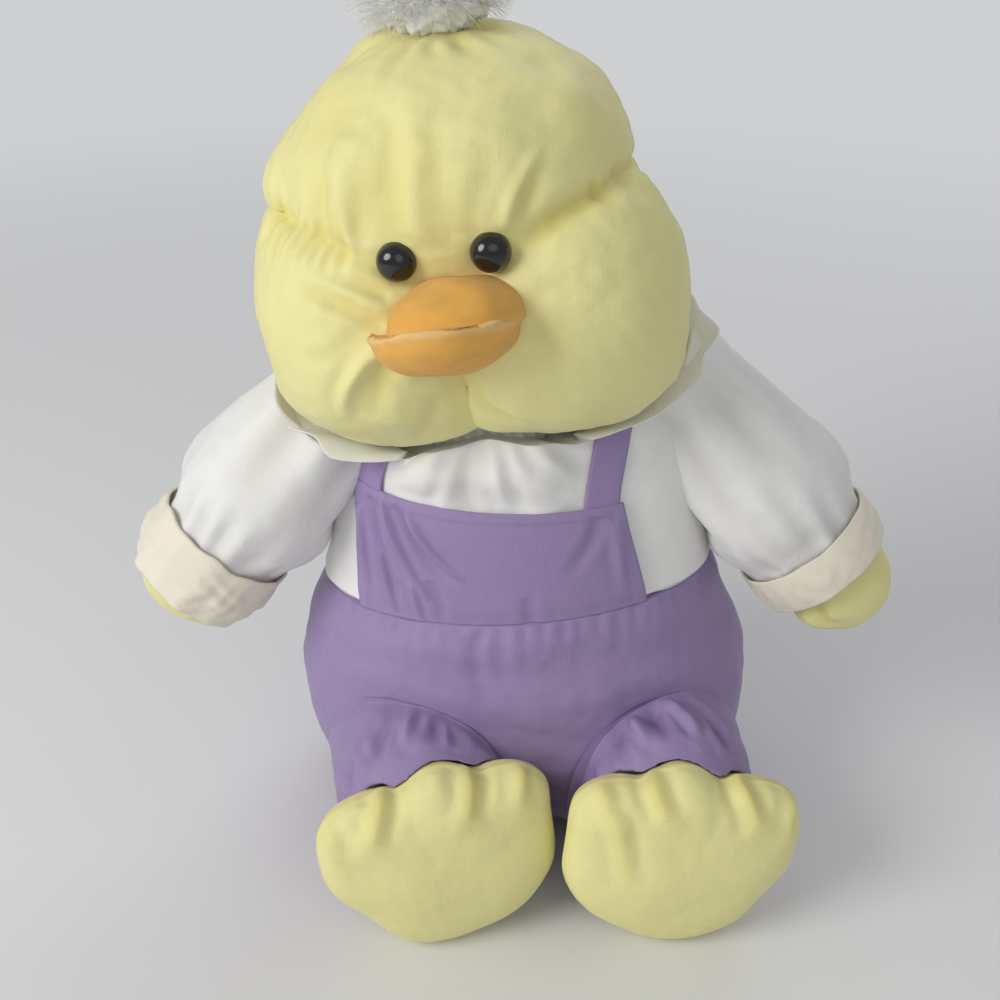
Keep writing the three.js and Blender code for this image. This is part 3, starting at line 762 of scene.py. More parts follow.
def build_head():
    """Builds the head and gives the room that it sweeps as it turns."""
    skin = ball_skin(to_head, 7)
    between = head_reach(unit(skin.points))[1]
    # Painted shade along the seams
    skin.fold_shade += 1.5 * np.exp(-((between / 3.0) ** 2))
    for azimuth, elevation, height, radius in head_swells:
        skin.dent(to_head(head_way([azimuth], [elevation]))[0], -height, radius)
    for depth, width, peak, lip, stops in head_folds:
        skin.crease(on_head(stops), depth, width, peak=peak, lip=lip)
    gather_head(skin)
    for sign in sides.values():
        skin.dent(eye_place(sign), 1.8, 9)
    skin.settle()
    skin.uneven((0.45, 26, 3), (0.16, 9, 4))
    swept = swept_room(skin.points)
    pocket(skin)
    skin.moved(head_turned, head_place)
    nodes = ("head_crown", "head_cheek_left", "head_cheek_right", "head_nape")
    stuffed(skin, "head_skin", yellow, "yellow_cloth", "head", *nodes)
    return swept


def pocket(skin):
    """Draws in the underside where the head is sewn to the neck."""
    x, y, z = skin.points.T
    under = (z < 0) * (1 - smooth(np.hypot(x, y), neck_radius + 0.5, neck_radius + 5))
    drawn = np.maximum(z, neck_top * under + z * (1 - under))
    skin.points[:, 2] = np.where(under > 0, drawn, z)


# Face: two dome eyes and a beak of two stuffed halves

eye_radius = 7
eye_dome = 6
eye_sink = 0.6  # how far its back lies under the face
eye_back = 0.16  # share of its rows that close the back
eye_spacing = 32
eye_height = 16
eye_turn = 10
mouth_root = -60
mouth_height = -7
beak_tilt = 16  # degrees, the tip is higher
beak_squareness = 2.3
beak_lip = 1.1  # how far its seam edge stands out
beak_inset = 5  # how far its root lies under the face


def eye_place(sign):
    """Where an eye's back rests on the face, in the head's frame."""
    way = np.array([[sign * eye_spacing / 2, -60.0, eye_height]])
    for _ in range(8):
        way[0, 1] = to_head(unit(way))[0, 1]
    return way[0]


def build_eye(side):
    sign = sides[side]
    turn = head_turned @ spun("Z", sign * eye_turn) @ spun("X", 90)
    place = head_turned @ eye_place(sign) + head_place

    def dome(turns, rise):
        # From the back's middle out to the rim, round its small edge, and over the dome
        back = rise < eye_back
        bend = np.clip((rise - eye_back) / (1 - eye_back), 0, 1) * np.pi / 2
        radius = np.where(back, eye_radius * rise / eye_back, eye_radius * np.cos(bend) ** 0.86)
        height = np.where(back, -eye_sink, -eye_sink + (eye_dome + eye_sink) * np.sin(bend))
        return np.stack([radius * np.cos(turns), radius * np.sin(turns), height], axis=-1)

    skin = grid_skin(dome, 64, 40).moved(turn, place)
    made = skin.piece(f"eye_dome_{side}", black, "eye_plastic")
    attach(made, "head")
    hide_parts(f"eye_{side}")


def build_beak(name, shift, half, sign, lip):
    """Half of the beak: a stuffed lobe, flat on the mouth line, with a standing seam round its rim that
    carries a painted highlight.
    """
    half = np.array(half, float)

    def lobe(ways):
        reach = ((np.abs(ways / half) ** beak_squareness).sum(1)) ** (-1 / beak_squareness)
        return ways * reach[:, None]

    skin = ball_skin(lobe)
    level = ((np.abs(skin.points[:, :2]) / half[:2]) ** beak_squareness).sum(1) ** (1 / beak_squareness)
    inner = skin.points[:, 2] * sign < 0.3
    flat = sign * 0.3 + min(sign, 0) * 0.6 * np.clip(1 - level**4, 0, 1)
    skin.points[:, 2] = np.where(inner, flat, skin.points[:, 2])
    edge = np.exp(-((((1 - level) * 30 + np.abs(skin.points[:, 2])) / 1.8) ** 2))
    skin.lift += lip * edge
    # Painted highlight along the standing edge of the seam
    skin.rim_highlight += 0.8 * lip / beak_lip * edge
    skin.settle()
    skin.uneven((0.4, 17, 11 + sign))
    # The right side of its tip droops
    skin.points[:, 2] -= 1.6 * smooth(-skin.points[:, 0], 4, 26) * smooth(-skin.points[:, 1], -8, 12)
    skin.moved(spun("X", -beak_tilt), (shift, mouth_root, mouth_height))
    ways = unit(skin.points)
    skull = head_reach(ways)[0]
    far = np.maximum(np.linalg.norm(skin.points, axis=1), skull - beak_inset)
    skin.points = ways * far[:, None]
    # Painted shade where the beak sinks into the head
    skin.fold_shade += 2.2 * np.exp(-(((far - skull) / 3) ** 2))
    skin.moved(head_turned, head_place)
    stuffed(skin, f"{name}_stuffed", orange, "beak_velour", "head", name)


room = build_head()
for side in sides:
    build_eye(side)
    washer = frame["nodes"][f"eye_washer_{side}"].data.materials
    washer.clear()
    washer.append(natural)
build_beak("beak_upper", 2, (23.5, 33, 16), 1, 0.3)
build_beak("beak_lower", -2.2, (25.5, 38, 17), -1, beak_lip)


# Body: the shirt above the waist seam and the overalls below it

hip_half = 102
hip_height = 82
depth_share = 0.74
seat_flatness = 3.6
hip_round = 16  # how far up and down the hips are rounded
shoulder_half = 61
shoulder_line = 203
body_height = 224
flank_stops = [(hip_half, hip_height), (83, 121), (73, 168), (shoulder_half, shoulder_line)]
waist_height = 121
seam_gap = 0.2  # how far the shirt and the seat each stay from the waist seam
waist_rise = (math.tan(rad(4)), -math.tan(rad(5)))  # along X and along Y
body_lean = math.tan(rad(2.1))
body_turn = rad(-10)
seat_press = 0.5
foot_room = 3.6  # how far the belly gives way above the feet
foot_top = 74  # height of the feet, round which it does
foot_top_spread = 14
between_legs = 15  # how far the belly tucks under between the legs
tuck_height = 26
tuck_half = (16, 27)  # how wide and how high the tuck is
belt_swell = 2.2  # how far the seat swells out below the waist seam
belt_depth = 11
belt_spread = 9
shirt_swell = 3.6  # how far the shirt swells beside the bib and the straps
strap_press = 0.5  # how far they draw it in
bib_press = 1.6
shirt_gap = 0.9  # from the head, with no collar or strap between them
shirt_room = 2.9  # more room for the collar or a strap
neck_reach = 36  # how far the gathered neck reaches down
neck_round = 8


def body_outline():
    turn = np.linspace(0, np.pi / 2, 60)
    power = 2 / seat_flatness
    drop = hip_height + seat_press
    seat = np.stack([hip_half * np.sin(turn) ** power, hip_height - drop * np.cos(turn) ** power], axis=1)
    rise = body_height - shoulder_line
    top = np.stack([shoulder_half * np.cos(turn), shoulder_line + rise * np.sin(turn)], axis=1)
    whole = np.vstack([seat, curve(flank_stops, 20)[1:], top[1:]])
    # The fill rounds the widest line of the hips
    near = hip_round * (1 - smooth(np.abs(whole[:, 1] - hip_height), 6, 24))
    spread = np.linspace(-1, 1, 9)
    around = [np.interp(whole[:, 1] + near * share, whole[:, 1], whole[:, 0]) for share in spread]
    whole[:, 0] = np.mean(around, axis=0)
    return whole


outline = body_outline()


def half_width(height):
    return np.interp(height, outline[:, 1], outline[:, 0], left=0, right=0)


def trunk_point(angle, radius, height):
    """A point round the trunk: angle 0 is its front, in radians, and positive is to the chick's left."""
    x = radius * np.sin(angle) - body_lean * height
    return np.stack([x, -depth_share * radius * np.cos(angle), height + 0 * x], axis=-1)


def body_point(angle, height):
    return trunk_point(angle, half_width(height), height)


def front_point(x, height, grow=0.0, face=-1):
    """A point of the body's front, or of its back with face 1, seen square on to the turned body."""
    radius = half_width(height) + grow
    c, s = math.cos(body_turn), math.sin(body_turn)
    k = depth_share**-2
    a = s * s + c * c * k
    b = 2 * x * c * s * (k - 1)
    rest = x * x * (c * c + s * s * k) - radius**2
    y = (-b + face * np.sqrt(np.maximum(b * b - 4 * a * rest, 0))) / (2 * a)
    return np.stack([x * c - y * s - body_lean * height, x * s + y * c, height + 0 * x], axis=-1)


def waist_at(points):
    """The height of the waist seam over or under these points."""
    return waist_height + waist_rise[0] * points[..., 0] + waist_rise[1] * points[..., 1]


def on_front(stops, face=-1):
    x, z = curve(stops).T
    return front_point(x, z, 0, face)


def below_head(points, extra):
    """Presses points down out of the round space in which the head turns, and some more."""
    local = (points - head_place) @ head_turned
    across = (np.abs(local[:, :2]) / (cup_radius + np.asarray(extra)[..., None])) ** cup_squareness
    left = np.maximum(1 - across.sum(1), 0) ** (1 / cup_squareness)
    under = cup_middle - (cup_depth + extra) * left
    local[:, 2] = np.where(left > 0, np.minimum(local[:, 2], under), local[:, 2])
    return local @ head_turned.T + head_place


def face_angle(points):
    """Degrees round the head's own axis from the face."""
    local = (points - head_place) @ head_turned
    return bearings(local)[0]


# Bib and straps, as lines on the turned body's front

bib_top_half = 55
bib_bottom_half = 61
bib_height = 173
bib_shift = -6.5
bib_stand = 1.9  # how far its face stands out from the shirt
bib_thickness = 1.0
bib_hem = 4.6
strap_stand = 1.7
strap_thickness = 1.1
strap_width = 13
strap_gap = 1.9  # from the head
strap_room = (1.1, 0.9)  # more room for the collar, before and after its rows are smoothed
strap_inset = 1
strap_bend = 178
strap_shoulder = 42
strap_spread = 9  # how far outside of its run down the back it lies in front of the shoulder
chest_pleats = [  # across at the chin and where it ends, how far down it runs, and how deep it is
    (-14, -26, 32, 2.0),
    (-20, -41, 26, 1.7),
    (-4, 0, 34, 1.7),
    (1, 12, 30, 2.0),
    (8, 27, 26, 1.6),
    (14, 36, 18, 1.3),
]
bib_wrinkles = [  # across and height along the wrinkle, its depth (less than 0 is a ridge) and its width
    ([(-54, 170), (-50, 152), (-43, 130)], 1.6, 2.4),
    ([(-48, 171), (-41, 154), (-28, 132)], -3.2, 1.6),
    ([(-42, 170), (-34, 157), (-19, 139)], 1.5, 2.6),
    ([(-37, 168), (-27, 155), (-12, 143)], -2.4, 1.6),
    ([(-59, 163), (-57, 146), (-55, 126)], -2.8, 1.6),
    ([(-50, 148), (-46, 136), (-43, 122)], -2.8, 1.5),
    ([(-36, 139), (-33, 130), (-31, 121)], -2.0, 1.6),
    ([(-28, 141), (-23, 131), (-22, 122)], 1.2, 2.6),
    ([(40, 170), (36, 158), (28, 146)], 1.1, 3.0),
    ([(46, 166), (48, 150), (50, 135)], -1.3, 2.6),
    ([(12, 138), (14, 128), (14, 121)], 0.9, 3.0),
]


def bib_edge(sign, height):
    """How far across the bib's side edge lies at a height."""
    share = (height - waist_height) / (bib_height - waist_height)
    top = bib_shift + sign * bib_top_half
    bottom = sign * bib_bottom_half
    return bottom + (top - bottom) * share


def turned_across(points):
    """How far across the turned body's front points lie."""
    lean = points[:, 0] + body_lean * points[:, 2]
    return lean * math.cos(body_turn) + points[:, 1] * math.sin(body_turn)


def beside_straps(points):
    """How far points lie from the nearer strap, or less than 0 under it."""
    across = turned_across(points)
    gaps = []
    for sign in (1, -1):
        corner = bib_shift + sign * (bib_top_half - strap_inset)
        bend = np.clip((points[:, 2] - strap_bend) / (shoulder_line - strap_bend), 0, 1)
        outer = corner + (sign * strap_shoulder - corner) * bend
        outer = np.where(points[:, 1] < 0, outer, sign * strap_shoulder)
        gaps.append(np.abs(across - outer + sign * strap_width / 2) - strap_width / 2)
    return np.minimum(*gaps)


def pressed(points):
    """How far the shirt stands out: drawn in under the bib and the straps, and swelling beside them."""
    height = points[:, 2]
    across = turned_across(points)
    left, right = ((across - bib_edge(sign, np.minimum(height, bib_height))) * sign for sign in (1, -1))
    over_bib = np.maximum(np.maximum(left, right), height - bib_height)
    away = np.minimum(np.where(points[:, 1] < 0, over_bib, 99), beside_straps(points))
    under_bib = np.where(points[:, 1] < 0, smooth(-over_bib, 2, 9), 0)
    return shirt_swell * smooth(away, 0.5, 15) - strap_press - bib_press * under_bib


def to_middle(whole, share, height):
    """Draws points in to the body's middle at a height, where share is less than 1."""
    middle = np.array([-body_lean * waist_height, 0, height])
    return np.where(share[:, None] < 1, middle + share[:, None] * (whole - middle), whole)


def build_shirt():
    low = 112.0  # height at which its outline starts, before the waist seam moves it
    disc = 0.1  # share of its rows that close it below
    at = walk(outline[outline[:, 1] >= low])

    def place(turn, rise):
        nominal = at(np.clip((rise - disc) / (1 - disc), 0, 1))[1]
        drop = waist_at(body_point(turn, nominal)) + seam_gap - low
        whole = body_point(turn, nominal + drop * (1 - smooth(nominal, low, 150)))
        return to_middle(whole, np.clip(rise / disc, 0, 1), waist_height + seam_gap)

    skin = grid_skin(place, 220, 150)
    above = skin.points[:, 2] > waist_at(skin.points) + 0.6
    skin.lift += np.where(above, pressed(skin.points), 0)
    skin.settle()
    for sign in sides.values():
        # Armpits: the side fills out towards the sleeve
        skin.dent(body_point(sign * rad(88), 166.0), -2.6, 17)
    # Pleats fan down from the chin, between the two halves of the chest
    skin.crease(on_front([(-7, 204), (-9, 192), (-10, 181), (-10, 168)]), 3.2, 5.5, peak=0.45, lip=0.4)
    for top, end, reach, depth in chest_pleats:
        line = on_front([(top, 206), ((top * 2 + end) / 3, 206 - reach / 2), (end, 206 - reach)])
        skin.crease(line, depth, 2.6, peak=0.4, lip=0.8)
    # The back has a centre seam, soft folds that rise from the waist, and two full shoulders
    skin.crease(on_front([(-4, 202), (-4, 165), (-3, 126)], face=1), 1.3, 1.7, lip=0.5)
    chance = np.random.default_rng(23)
    for x in np.arange(-66, 68, 9.5):
        reach = chance.uniform(14, 46)
        line = on_front([(x, 124), (x, 124 + reach / 2), (x + chance.uniform(-6, 6), 124 + reach)], face=1)
        skin.gather(line, chance, (0.6, 1.3), (2.4, 4.2), peak=0.3, lip=0.5)
    skin.dent(front_point(-28.0, 188.0), -3.0, 14)
    skin.dent(front_point(13.0, 189.0), -2.8, 15)
    skin.settle()
    skin.uneven((0.45, 26, 21), (0.1, 9, 22))
    room_for_collar = smooth(np.abs(face_angle(skin.points)), 36, 50)
    room_for_strap = 1 - smooth(beside_straps(skin.points), 0, 5)
    more = shirt_room * np.maximum(room_for_collar, room_for_strap)
    skin.points = clear_of_head(skin.points, shirt_gap + more)
    skin.points[:, 2] = np.maximum(skin.points[:, 2], waist_at(skin.points) + seam_gap)
    stuffed(skin, "shirt_body", white, "shirt_cloth", "body", "shirt_torso", fill=0.65)


def build_neck():
    """The gathered neck that the head is sewn to. It has no solid of its own."""
    top = neck_top - 0.4
    radius = neck_radius - 1.0
    low = top - neck_reach
    profile = [(0, low), (radius - 0.5, low), (radius, top - neck_round)]
    profile += arc(radius, top - neck_round, neck_round)
    skin = turned_skin(profile, 180, 50)
    x, y = skin.points[:, :2].T
    pleat = np.sin(np.arctan2(y, x) * neck_pleats)
    side = np.hypot(x, y) > neck_radius - 3
    skin.lift += np.where(side, 0.6 * pleat, 0)
    # Painted shade in the valleys between the pleats
    skin.fold_shade += np.where(side, 1.2 * (1 - pleat), 0)
    skin.settle()
    skin.moved(head_turned, head_place)
    made = skin.piece("neck_gathers", white, "shirt_cloth")
    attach(made, "body")


def build_seat():
    disc = 0.9  # share of its rows after which it closes above
    at = walk(outline[outline[:, 1] <= waist_height])

    def place(turn, rise):
        flat, nominal = at(np.clip(rise / disc, 0, 1))
        top = waist_at(body_point(turn, nominal)) - seam_gap
        height = nominal + (top - waist_height) * smooth(nominal, 95, waist_height)
        radius = np.where(nominal < 20, flat, half_width(height))
        whole = trunk_point(turn, radius, height)
        return to_middle(whole, np.clip((1 - rise) / (1 - disc), 0, 1), waist_height - seam_gap)

    skin = grid_skin(place, 260, 170)
    x, y, z = skin.points.T
    below = waist_at(skin.points) - z
    skin.lift += belt_swell * np.exp(-(((below - belt_depth) / belt_spread) ** 2)) * (below > 0.6)
    skin.lift -= foot_room * over_feet(z) * smooth(-y, 40, 66)
    tuck = np.exp(-((x / tuck_half[0]) ** 2) - (((z - tuck_height) / tuck_half[1]) ** 2))
    skin.lift -= between_legs * tuck * smooth(-y, 30, 60)
    skin.settle()
    # Centre seam of the trousers, front and back, and gathers below the waist seam
    skin.crease(on_front([(-9, 120), (-9, 110), (-7, 100), (-5, 90)]), 1.3, 3.2, peak=0.35)
    skin.crease(on_front([(-1, 118), (2, 108), (3, 98)]), 0.8, 3.0, peak=0.35)
    chance = np.random.default_rng(31)
    for face, shortest, longest in ((-1, 8, 20), (1, 10, 34)):
        for x in np.arange(-80, 80, 7.5):
            at = x + chance.uniform(-2, 2)
            top = waist_at(np.array([at, 50 * face])) - 1
            length = chance.uniform(shortest, longest)
            lean = chance.uniform(-3, 3)
            stops = [(at, top), (at + lean * 0.5, top - length / 2), (at + lean, top - length)]
            skin.gather(on_front(stops, face), chance, (0.4, 1.0), (1.5, 2.6), peak=0.3, lip=0.5)
    skin.crease(on_front([(-3, 118), (-3, 90), (-2, 60)], face=1), 1.5, 2.0, peak=0.4, lip=0.5)
    skin.settle()
    skin.uneven((0.5, 30, 33), (0.18, 10, 34))
    skin.points[:, 2] = np.minimum(skin.points[:, 2], waist_at(skin.points) - seam_gap)
    skin.rest()
    stuffed(skin, "trousers_body", purple, "overalls_cloth", "body", "trousers_seat", fill=0.65)


def build_bib():
    up, across = np.meshgrid(np.linspace(0, 1, 70), np.linspace(0, 1, 140), indexing="ij")

    def bib_x(height):
        return bib_edge(-1, height) + (bib_edge(1, height) - bib_edge(-1, height)) * across

    low = np.full(up.shape, float(waist_height))
    for _ in range(4):
        low = waist_at(front_point(bib_x(low), low)) - 0.1
    height = low + (bib_height - low) * up
    skin = sheet_skin(front_point(bib_x(height), height, bib_stand), bib_thickness)
    # A stitched hem round three sides, and the seam that draws in its lower edge
    edge = np.minimum(np.minimum(across, 1 - across) * 2 * bib_top_half, (1 - up) * 50).ravel()
    hem = 0.25 * (1 - smooth(edge, 4.0, 5.0)) - 0.15 * np.exp(-(((edge - bib_hem) / 0.7) ** 2))
    seam = (1 - smooth(up * (bib_height - waist_height), 0, 8)).ravel()
    skin.lift += np.concatenate([hem - seam, -seam])
    # Painted shade along the hem's groove
    skin.fold_shade += np.concatenate([0.7 * np.exp(-(((edge - bib_hem - 0.2) / 0.8) ** 2)), 0 * hem])
    skin.settle()
    for stops, depth, width in bib_wrinkles:
        x, z = curve(stops).T
        skin.crease(front_point(x, z, bib_stand), depth, width, peak=0.35)
    skin.settle()
    cloth(skin, "bib_panel", purple, "overalls_cloth", "body", "bib",
          flat=(0.122, 0.06), held="laid", rests_on=["shirt_body"])


def strap_row(x, height, face):
    across = np.linspace(-0.5, 0.5, 15) * strap_width
    return front_point(x + across, np.full(15, float(height)), strap_stand, face)


def build_strap(side):
    """A strap from the bib's corner, over the shoulder, and down the back to the waist seam."""
    sign = sides[side]
    half = sign * strap_width / 2
    corner_x = bib_shift + sign * (bib_top_half - strap_inset) - half
    back_x = sign * strap_shoulder - half
    front_x = sign * strap_shoulder + sign * strap_spread - half
    rise = [(corner_x, bib_height - 4), (corner_x, strap_bend), (front_x, shoulder_line)]
    rows = [strap_row(x, z, -1) for x, z in curve(rise, 14)]
    crest = body_height - 4
    heights = [*np.linspace(shoulder_line + 2, crest, 10), *np.linspace(crest, shoulder_line, 10)]
    faces = [-1] * 10 + [1] * 10
    rows += [strap_row(*at) for at in zip(np.linspace(front_x, back_x, 20), heights, faces)]
    lowest = waist_at(front_point(back_x, waist_height, 0, 1)) + 0.6
    rows += [strap_row(back_x, z, 1) for z in np.linspace(shoulder_line - 4, lowest, 46)]
    front = np.array(rows)
    room_for_collar = smooth(np.abs(face_angle(front)), 44, 52)
    front = clear_of_head(front, strap_gap + strap_room[0] * room_for_collar)
    for _ in range(3):
        front[1:-1] = 0.25 * front[:-2] + 0.5 * front[1:-1] + 0.25 * front[2:]
    front = clear_of_head(front, strap_gap + strap_room[1] * room_for_collar)
    skin = sheet_skin(front, strap_thickness)
    skin.points += skin.ways * 0.12 * ripple(skin.points, 12, 41)[:, None]
    length = np.linalg.norm(np.diff(front[:, front.shape[1] // 2], axis=0), axis=1).sum()
    cloth(skin, f"strap_cloth_{side}", purple, "overalls_cloth", "body", f"strap_{side}",
          flat=(0.013, round(length * MM, 3)), held="laid", rests_on=["shirt_body"])


# Legs and feet

hip_x = 53
hip_y = -30
leg_height = 87
leg_width = 76
leg_length = {"left": 69, "right": 71}
leg_end = 0.81  # share of its thickness at the hem
hem_back = 5  # how far behind the middle of the foot the hem ends
hem_gap = 0.4  # between the hem and the foot
belly_gap = 0.3
leg_turn = {"left": 6, "right": 12}
foot_half = (48, 17.5, 39.5)
foot_lean = -10
foot_press = 0.6  # how far the table flattens the heel
sole_fullness = 0.8
sole_crown = 0.85
sole_bumps = [  # degrees round the sole from its inner side, share that it stands out, and its width
    (46, 0.20, 20),
    (88, 0.07, 13),
    (148, 0.12, 20),
    (110, -0.07, 9),
    (69, -0.05, 7),
    (-145, -0.13, 26),
    (-70, -0.04, 40),
]
toe_puckers = [  # stops down the sole from its top edge, from its middle inwards and up, then the depth
    ([(-20, 38), (-24, 30), (-28, 19)], 2.4),
    ([(13, 40), (12, 34), (9, 25)], 2.6),
    ([(34, 38), (33, 33), (31, 25)], 1.5),
    ([(-44, 24), (-43, 18), (-41, 12)], 1.0),
]
inner_fold = [(29, 30), (27, 15), (24, -2)]  # down the left sole
leg_folds = ((0, 3.2), (16, -3.4), (30, 3.4), (48, -3.0), (66, 2.6), (88, 1.4))  # angle, depth


def leg_frame(side):
    turn = spun("Z", leg_turn[side]) @ spun("X", -90)
    return turn, np.array([sides[side] * hip_x, hip_y, leg_height / 2 - seat_press])


def foot_frame(side):
    turn, place = leg_frame(side)
    middle = place + turn @ np.array([0, 0, -leg_length[side]])
    middle[2] = foot_half[2] - seat_press
    return spun("Z", leg_turn[side]) @ spun("X", foot_lean), middle


def sole_reach(angle):
    """The sole's outline as a share of its half sizes: 0 is its inner side and a quarter turn the toes."""
    reach = np.ones_like(angle)
    for middle, share, width in sole_bumps:
        away = (np.degrees(angle) - middle + 180) % 360 - 180
        reach = reach + share * np.exp(-((away / width) ** 2))
    return reach


def sole_rim(inwards, up):
    """How thick the foot is at a place on the sole, as a share, and whether the place lies on it."""
    across, high = inwards / foot_half[0], up / foot_half[2]
    out = np.hypot(across, high) / sole_reach(np.arctan2(high, across))
    return np.clip(1 - np.clip(out, 0, 1) ** (2 / sole_fullness), 0, 1) ** (sole_crown / 2), out < 1


def inside_foot(points, side, grow):
    turn, middle = foot_frame(side)
    half = np.array(foot_half)
    local = (points - middle) @ turn * half / (half + grow)
    rim, within = sole_rim(-sides[side] * local[:, 0], local[:, 2])
    return within & (np.abs(local[:, 1]) < rim * half[1])


def on_sole(inwards, across, up):
    """Points of the sole, across from its middle towards the other foot, and up."""
    return np.stack([inwards * across, -foot_half[1] * sole_rim(across, up)[0], up], axis=-1)


def build_foot(side):
    """Builds the foot and gives how far it sank to stand on the table."""
    inwards = -sides[side]

    def place(turn, rise):
        # The poles are the sole's and the instep's middles
        bend = (rise - 0.5) * np.pi
        from_inner = np.arctan2(np.sin(turn), inwards * np.cos(turn))
        reach = sole_reach(from_inner) * np.cos(bend) ** sole_fullness
        depth = np.sign(np.sin(bend)) * np.abs(np.sin(bend)) ** sole_crown
        return np.stack([reach * np.cos(turn), depth, reach * np.sin(turn)], axis=-1) * foot_half

    skin = grid_skin(place, 260, 150)
    chance = np.random.default_rng(51 + inwards)
    for stops, depth in toe_puckers:
        across, up = curve(stops).T
        line = on_sole(inwards, across, up + chance.uniform(-1.5, 1.5))
        skin.crease(line, depth, 3.4, peak=0.45, lip=0.5)
        skin.dent(line[-1], 0.7 * depth, 6)
    for angle in np.arange(34, 160, 19.0):
        turn = rad(angle + chance.uniform(-4, 4))
        reach = sole_reach(np.array([turn]))[0] * 0.99
        ends = np.array([reach, reach * chance.uniform(0.82, 0.9)])
        line = on_sole(inwards, ends * math.cos(turn) * foot_half[0], ends * math.sin(turn) * foot_half[2])
        skin.gather(line, chance, (0.2, 0.5), (2.4, 3.2), peak=0.3, lip=0.5)
    if side == "left":
        skin.crease(on_sole(inwards, *curve(inner_fold).T), 1.3, 3.5, peak=0.4, lip=0.7)
    from_rim = np.abs(skin.points[:, 1]) / foot_half[1]
    skin.lift -= 0.5 * np.exp(-((from_rim / 0.07) ** 2))
    # Painted shade along the seam round the rim
    skin.fold_shade += 1.2 * np.exp(-((from_rim / 0.08) ** 2))
    skin.settle()
    skin.uneven((0.5, 34, 55), (0.08, 11, 56))
    skin.moved(*foot_frame(side))
    sunk = skin.points[:, 2].min() + foot_press
    skin.points[:, 2] -= sunk
    skin.rest()
    stuffed(skin, f"foot_cushion_{side}", yellow, "yellow_cloth", f"leg_{side}", f"foot_{side}")
    return sunk


def over_feet(height):
    """The share of foot_room that the belly gives at a height."""
    return np.exp(-(((height - foot_top) / foot_top_spread) ** 2))


def belly_front(points):
    """Where the belly's front lies at some points' place across and height, or far back beside it."""
    x, _y, z = points.T
    inner = (half_width(z) + 0.4) ** 2 - (x + body_lean * z) ** 2
    front = -depth_share * np.sqrt(np.maximum(inner, 0)) + foot_room * over_feet(z)
    return np.where(inner > 0, front, 999)


def build_leg(side, sunk):
    radius = leg_height / 2
    length = leg_length[side] - hem_back
    stops = [(leg_end, 1 - length), (leg_end + 0.06, 9 - length), (0.94, -46), (1, -32), (1, 0)]
    flank = curve([(radius * share, height) for share, height in stops], 12)
    profile = [(0, -length), (radius * (leg_end - 0.06), -length), *flank, *arc(radius, 0, radius)]
    skin = turned_skin(profile, 240, 150)
    skin.points[:, 0] *= leg_width / leg_height
    turn, place = leg_frame(side)
    skin.moved(turn, place)
    chance = np.random.default_rng(61 + sides[side])
    way = turn @ np.array([0, 0, -1.0])

    def ring(degrees, along):
        flat = np.array([math.cos(rad(degrees)) * leg_width / 2, math.sin(rad(degrees)) * radius, 0])
        return place + turn @ flat + way * along

    for angle in np.arange(-170, 190, 17.0):
        low = chance.uniform(56, 64)
        high = low - chance.uniform(14, 30)
        line = [ring(angle + chance.uniform(-5, 5), low), ring(angle + chance.uniform(-9, 9), high)]
        skin.gather(line, chance, (1.0, 2.4), (2.2, 3.4), peak=0.25, lip=0.6)
    # Folds over the top that fan out from where the leg meets the belly
    inner = -90 - sides[side] * 38
    for spread, depth in leg_folds:
        start = ring(inner + sides[side] * spread * 0.6, 22)
        end = ring(inner + sides[side] * spread * 1.25, 62 - 0.15 * spread)
        width = 3.4 if depth > 0 else 2.2
        skin.crease([start, (start + end) / 2, end], depth, width, lip=0.4)
    # The folds die out at the belly and at the foot
    along = (skin.points - place) @ way
    free = smooth(belly_front(skin.points) - skin.points[:, 1], 0, 9)
    free *= 1 - smooth(along, length - 16, length - 3)
    skin.lift *= free
    skin.settle()
    skin.uneven((0.6, 26, 65), (0.15, 9, 66), share=free)
    skin.points[:, 1] = np.minimum(skin.points[:, 1], belly_front(skin.points) - belly_gap)
    # Where the hem would cut into the foot it gives way to the back, a millimetre at a time
    for _ in range(60):
        caught = inside_foot(skin.points + (0, 0, sunk), side, hem_gap)
        skin.points[caught, 1] += 1
    skin.rest()
    bending(skin, f"trouser_cloth_{side}", purple, "overalls_cloth", f"trouser_leg_{side}",
            place, way, (12, 48))


# Arms

shoulder_x = 67
shoulder_radius = 26
sleeve_radius = 34.8
sleeve_swell = -58
sleeve_end = 25.9  # radius where the cuff draws it in
sleeve_length = 98
sleeve_folds = ((-60, 2.0), (-88, -1.6), (-112, 1.8), (-140, -1.4), (-20, 1.2), (160, 1.0))  # angle, depth
arm_raise = 41
arm_forward = 9
flank_limits = ([148, 162, 176, 190, 203], [79, 66, 55, 48, 46])  # height, and its least place across
flank_soft = 3.0  # how softly the sleeve meets that limit
sleeve_below = 3.0  # how far below the head's round space it stays
sleeve_gap = 4.4  # from the head
cuff_height = {"left": 19, "right": 29}
cuff_overhang = {"left": 6, "right": 17}
cuff_low = {"left": 29.0, "right": 26.5}  # radius at the hand
cuff_high = 30.6
cuff_cloth = 1.2
cuff_crumple = {"left": 0.9, "right": 2.1}
cuff_rolls = {"left": 2, "right": 7}  # short folds round it
hand_radius = 23
hand_gap = 0.35  # between the hand and the sleeve
wrist_radius = 20.7
palm_length = 13
hand_length = {"left": 37, "right": 31}
hand_flatness = 0.82


def arm_frame(side):
    sign = sides[side]
    turn = spun("Y", -sign * arm_raise) @ spun("X", -arm_forward)
    return turn, np.array([sign * shoulder_x - body_lean * shoulder_line, 0, shoulder_line])


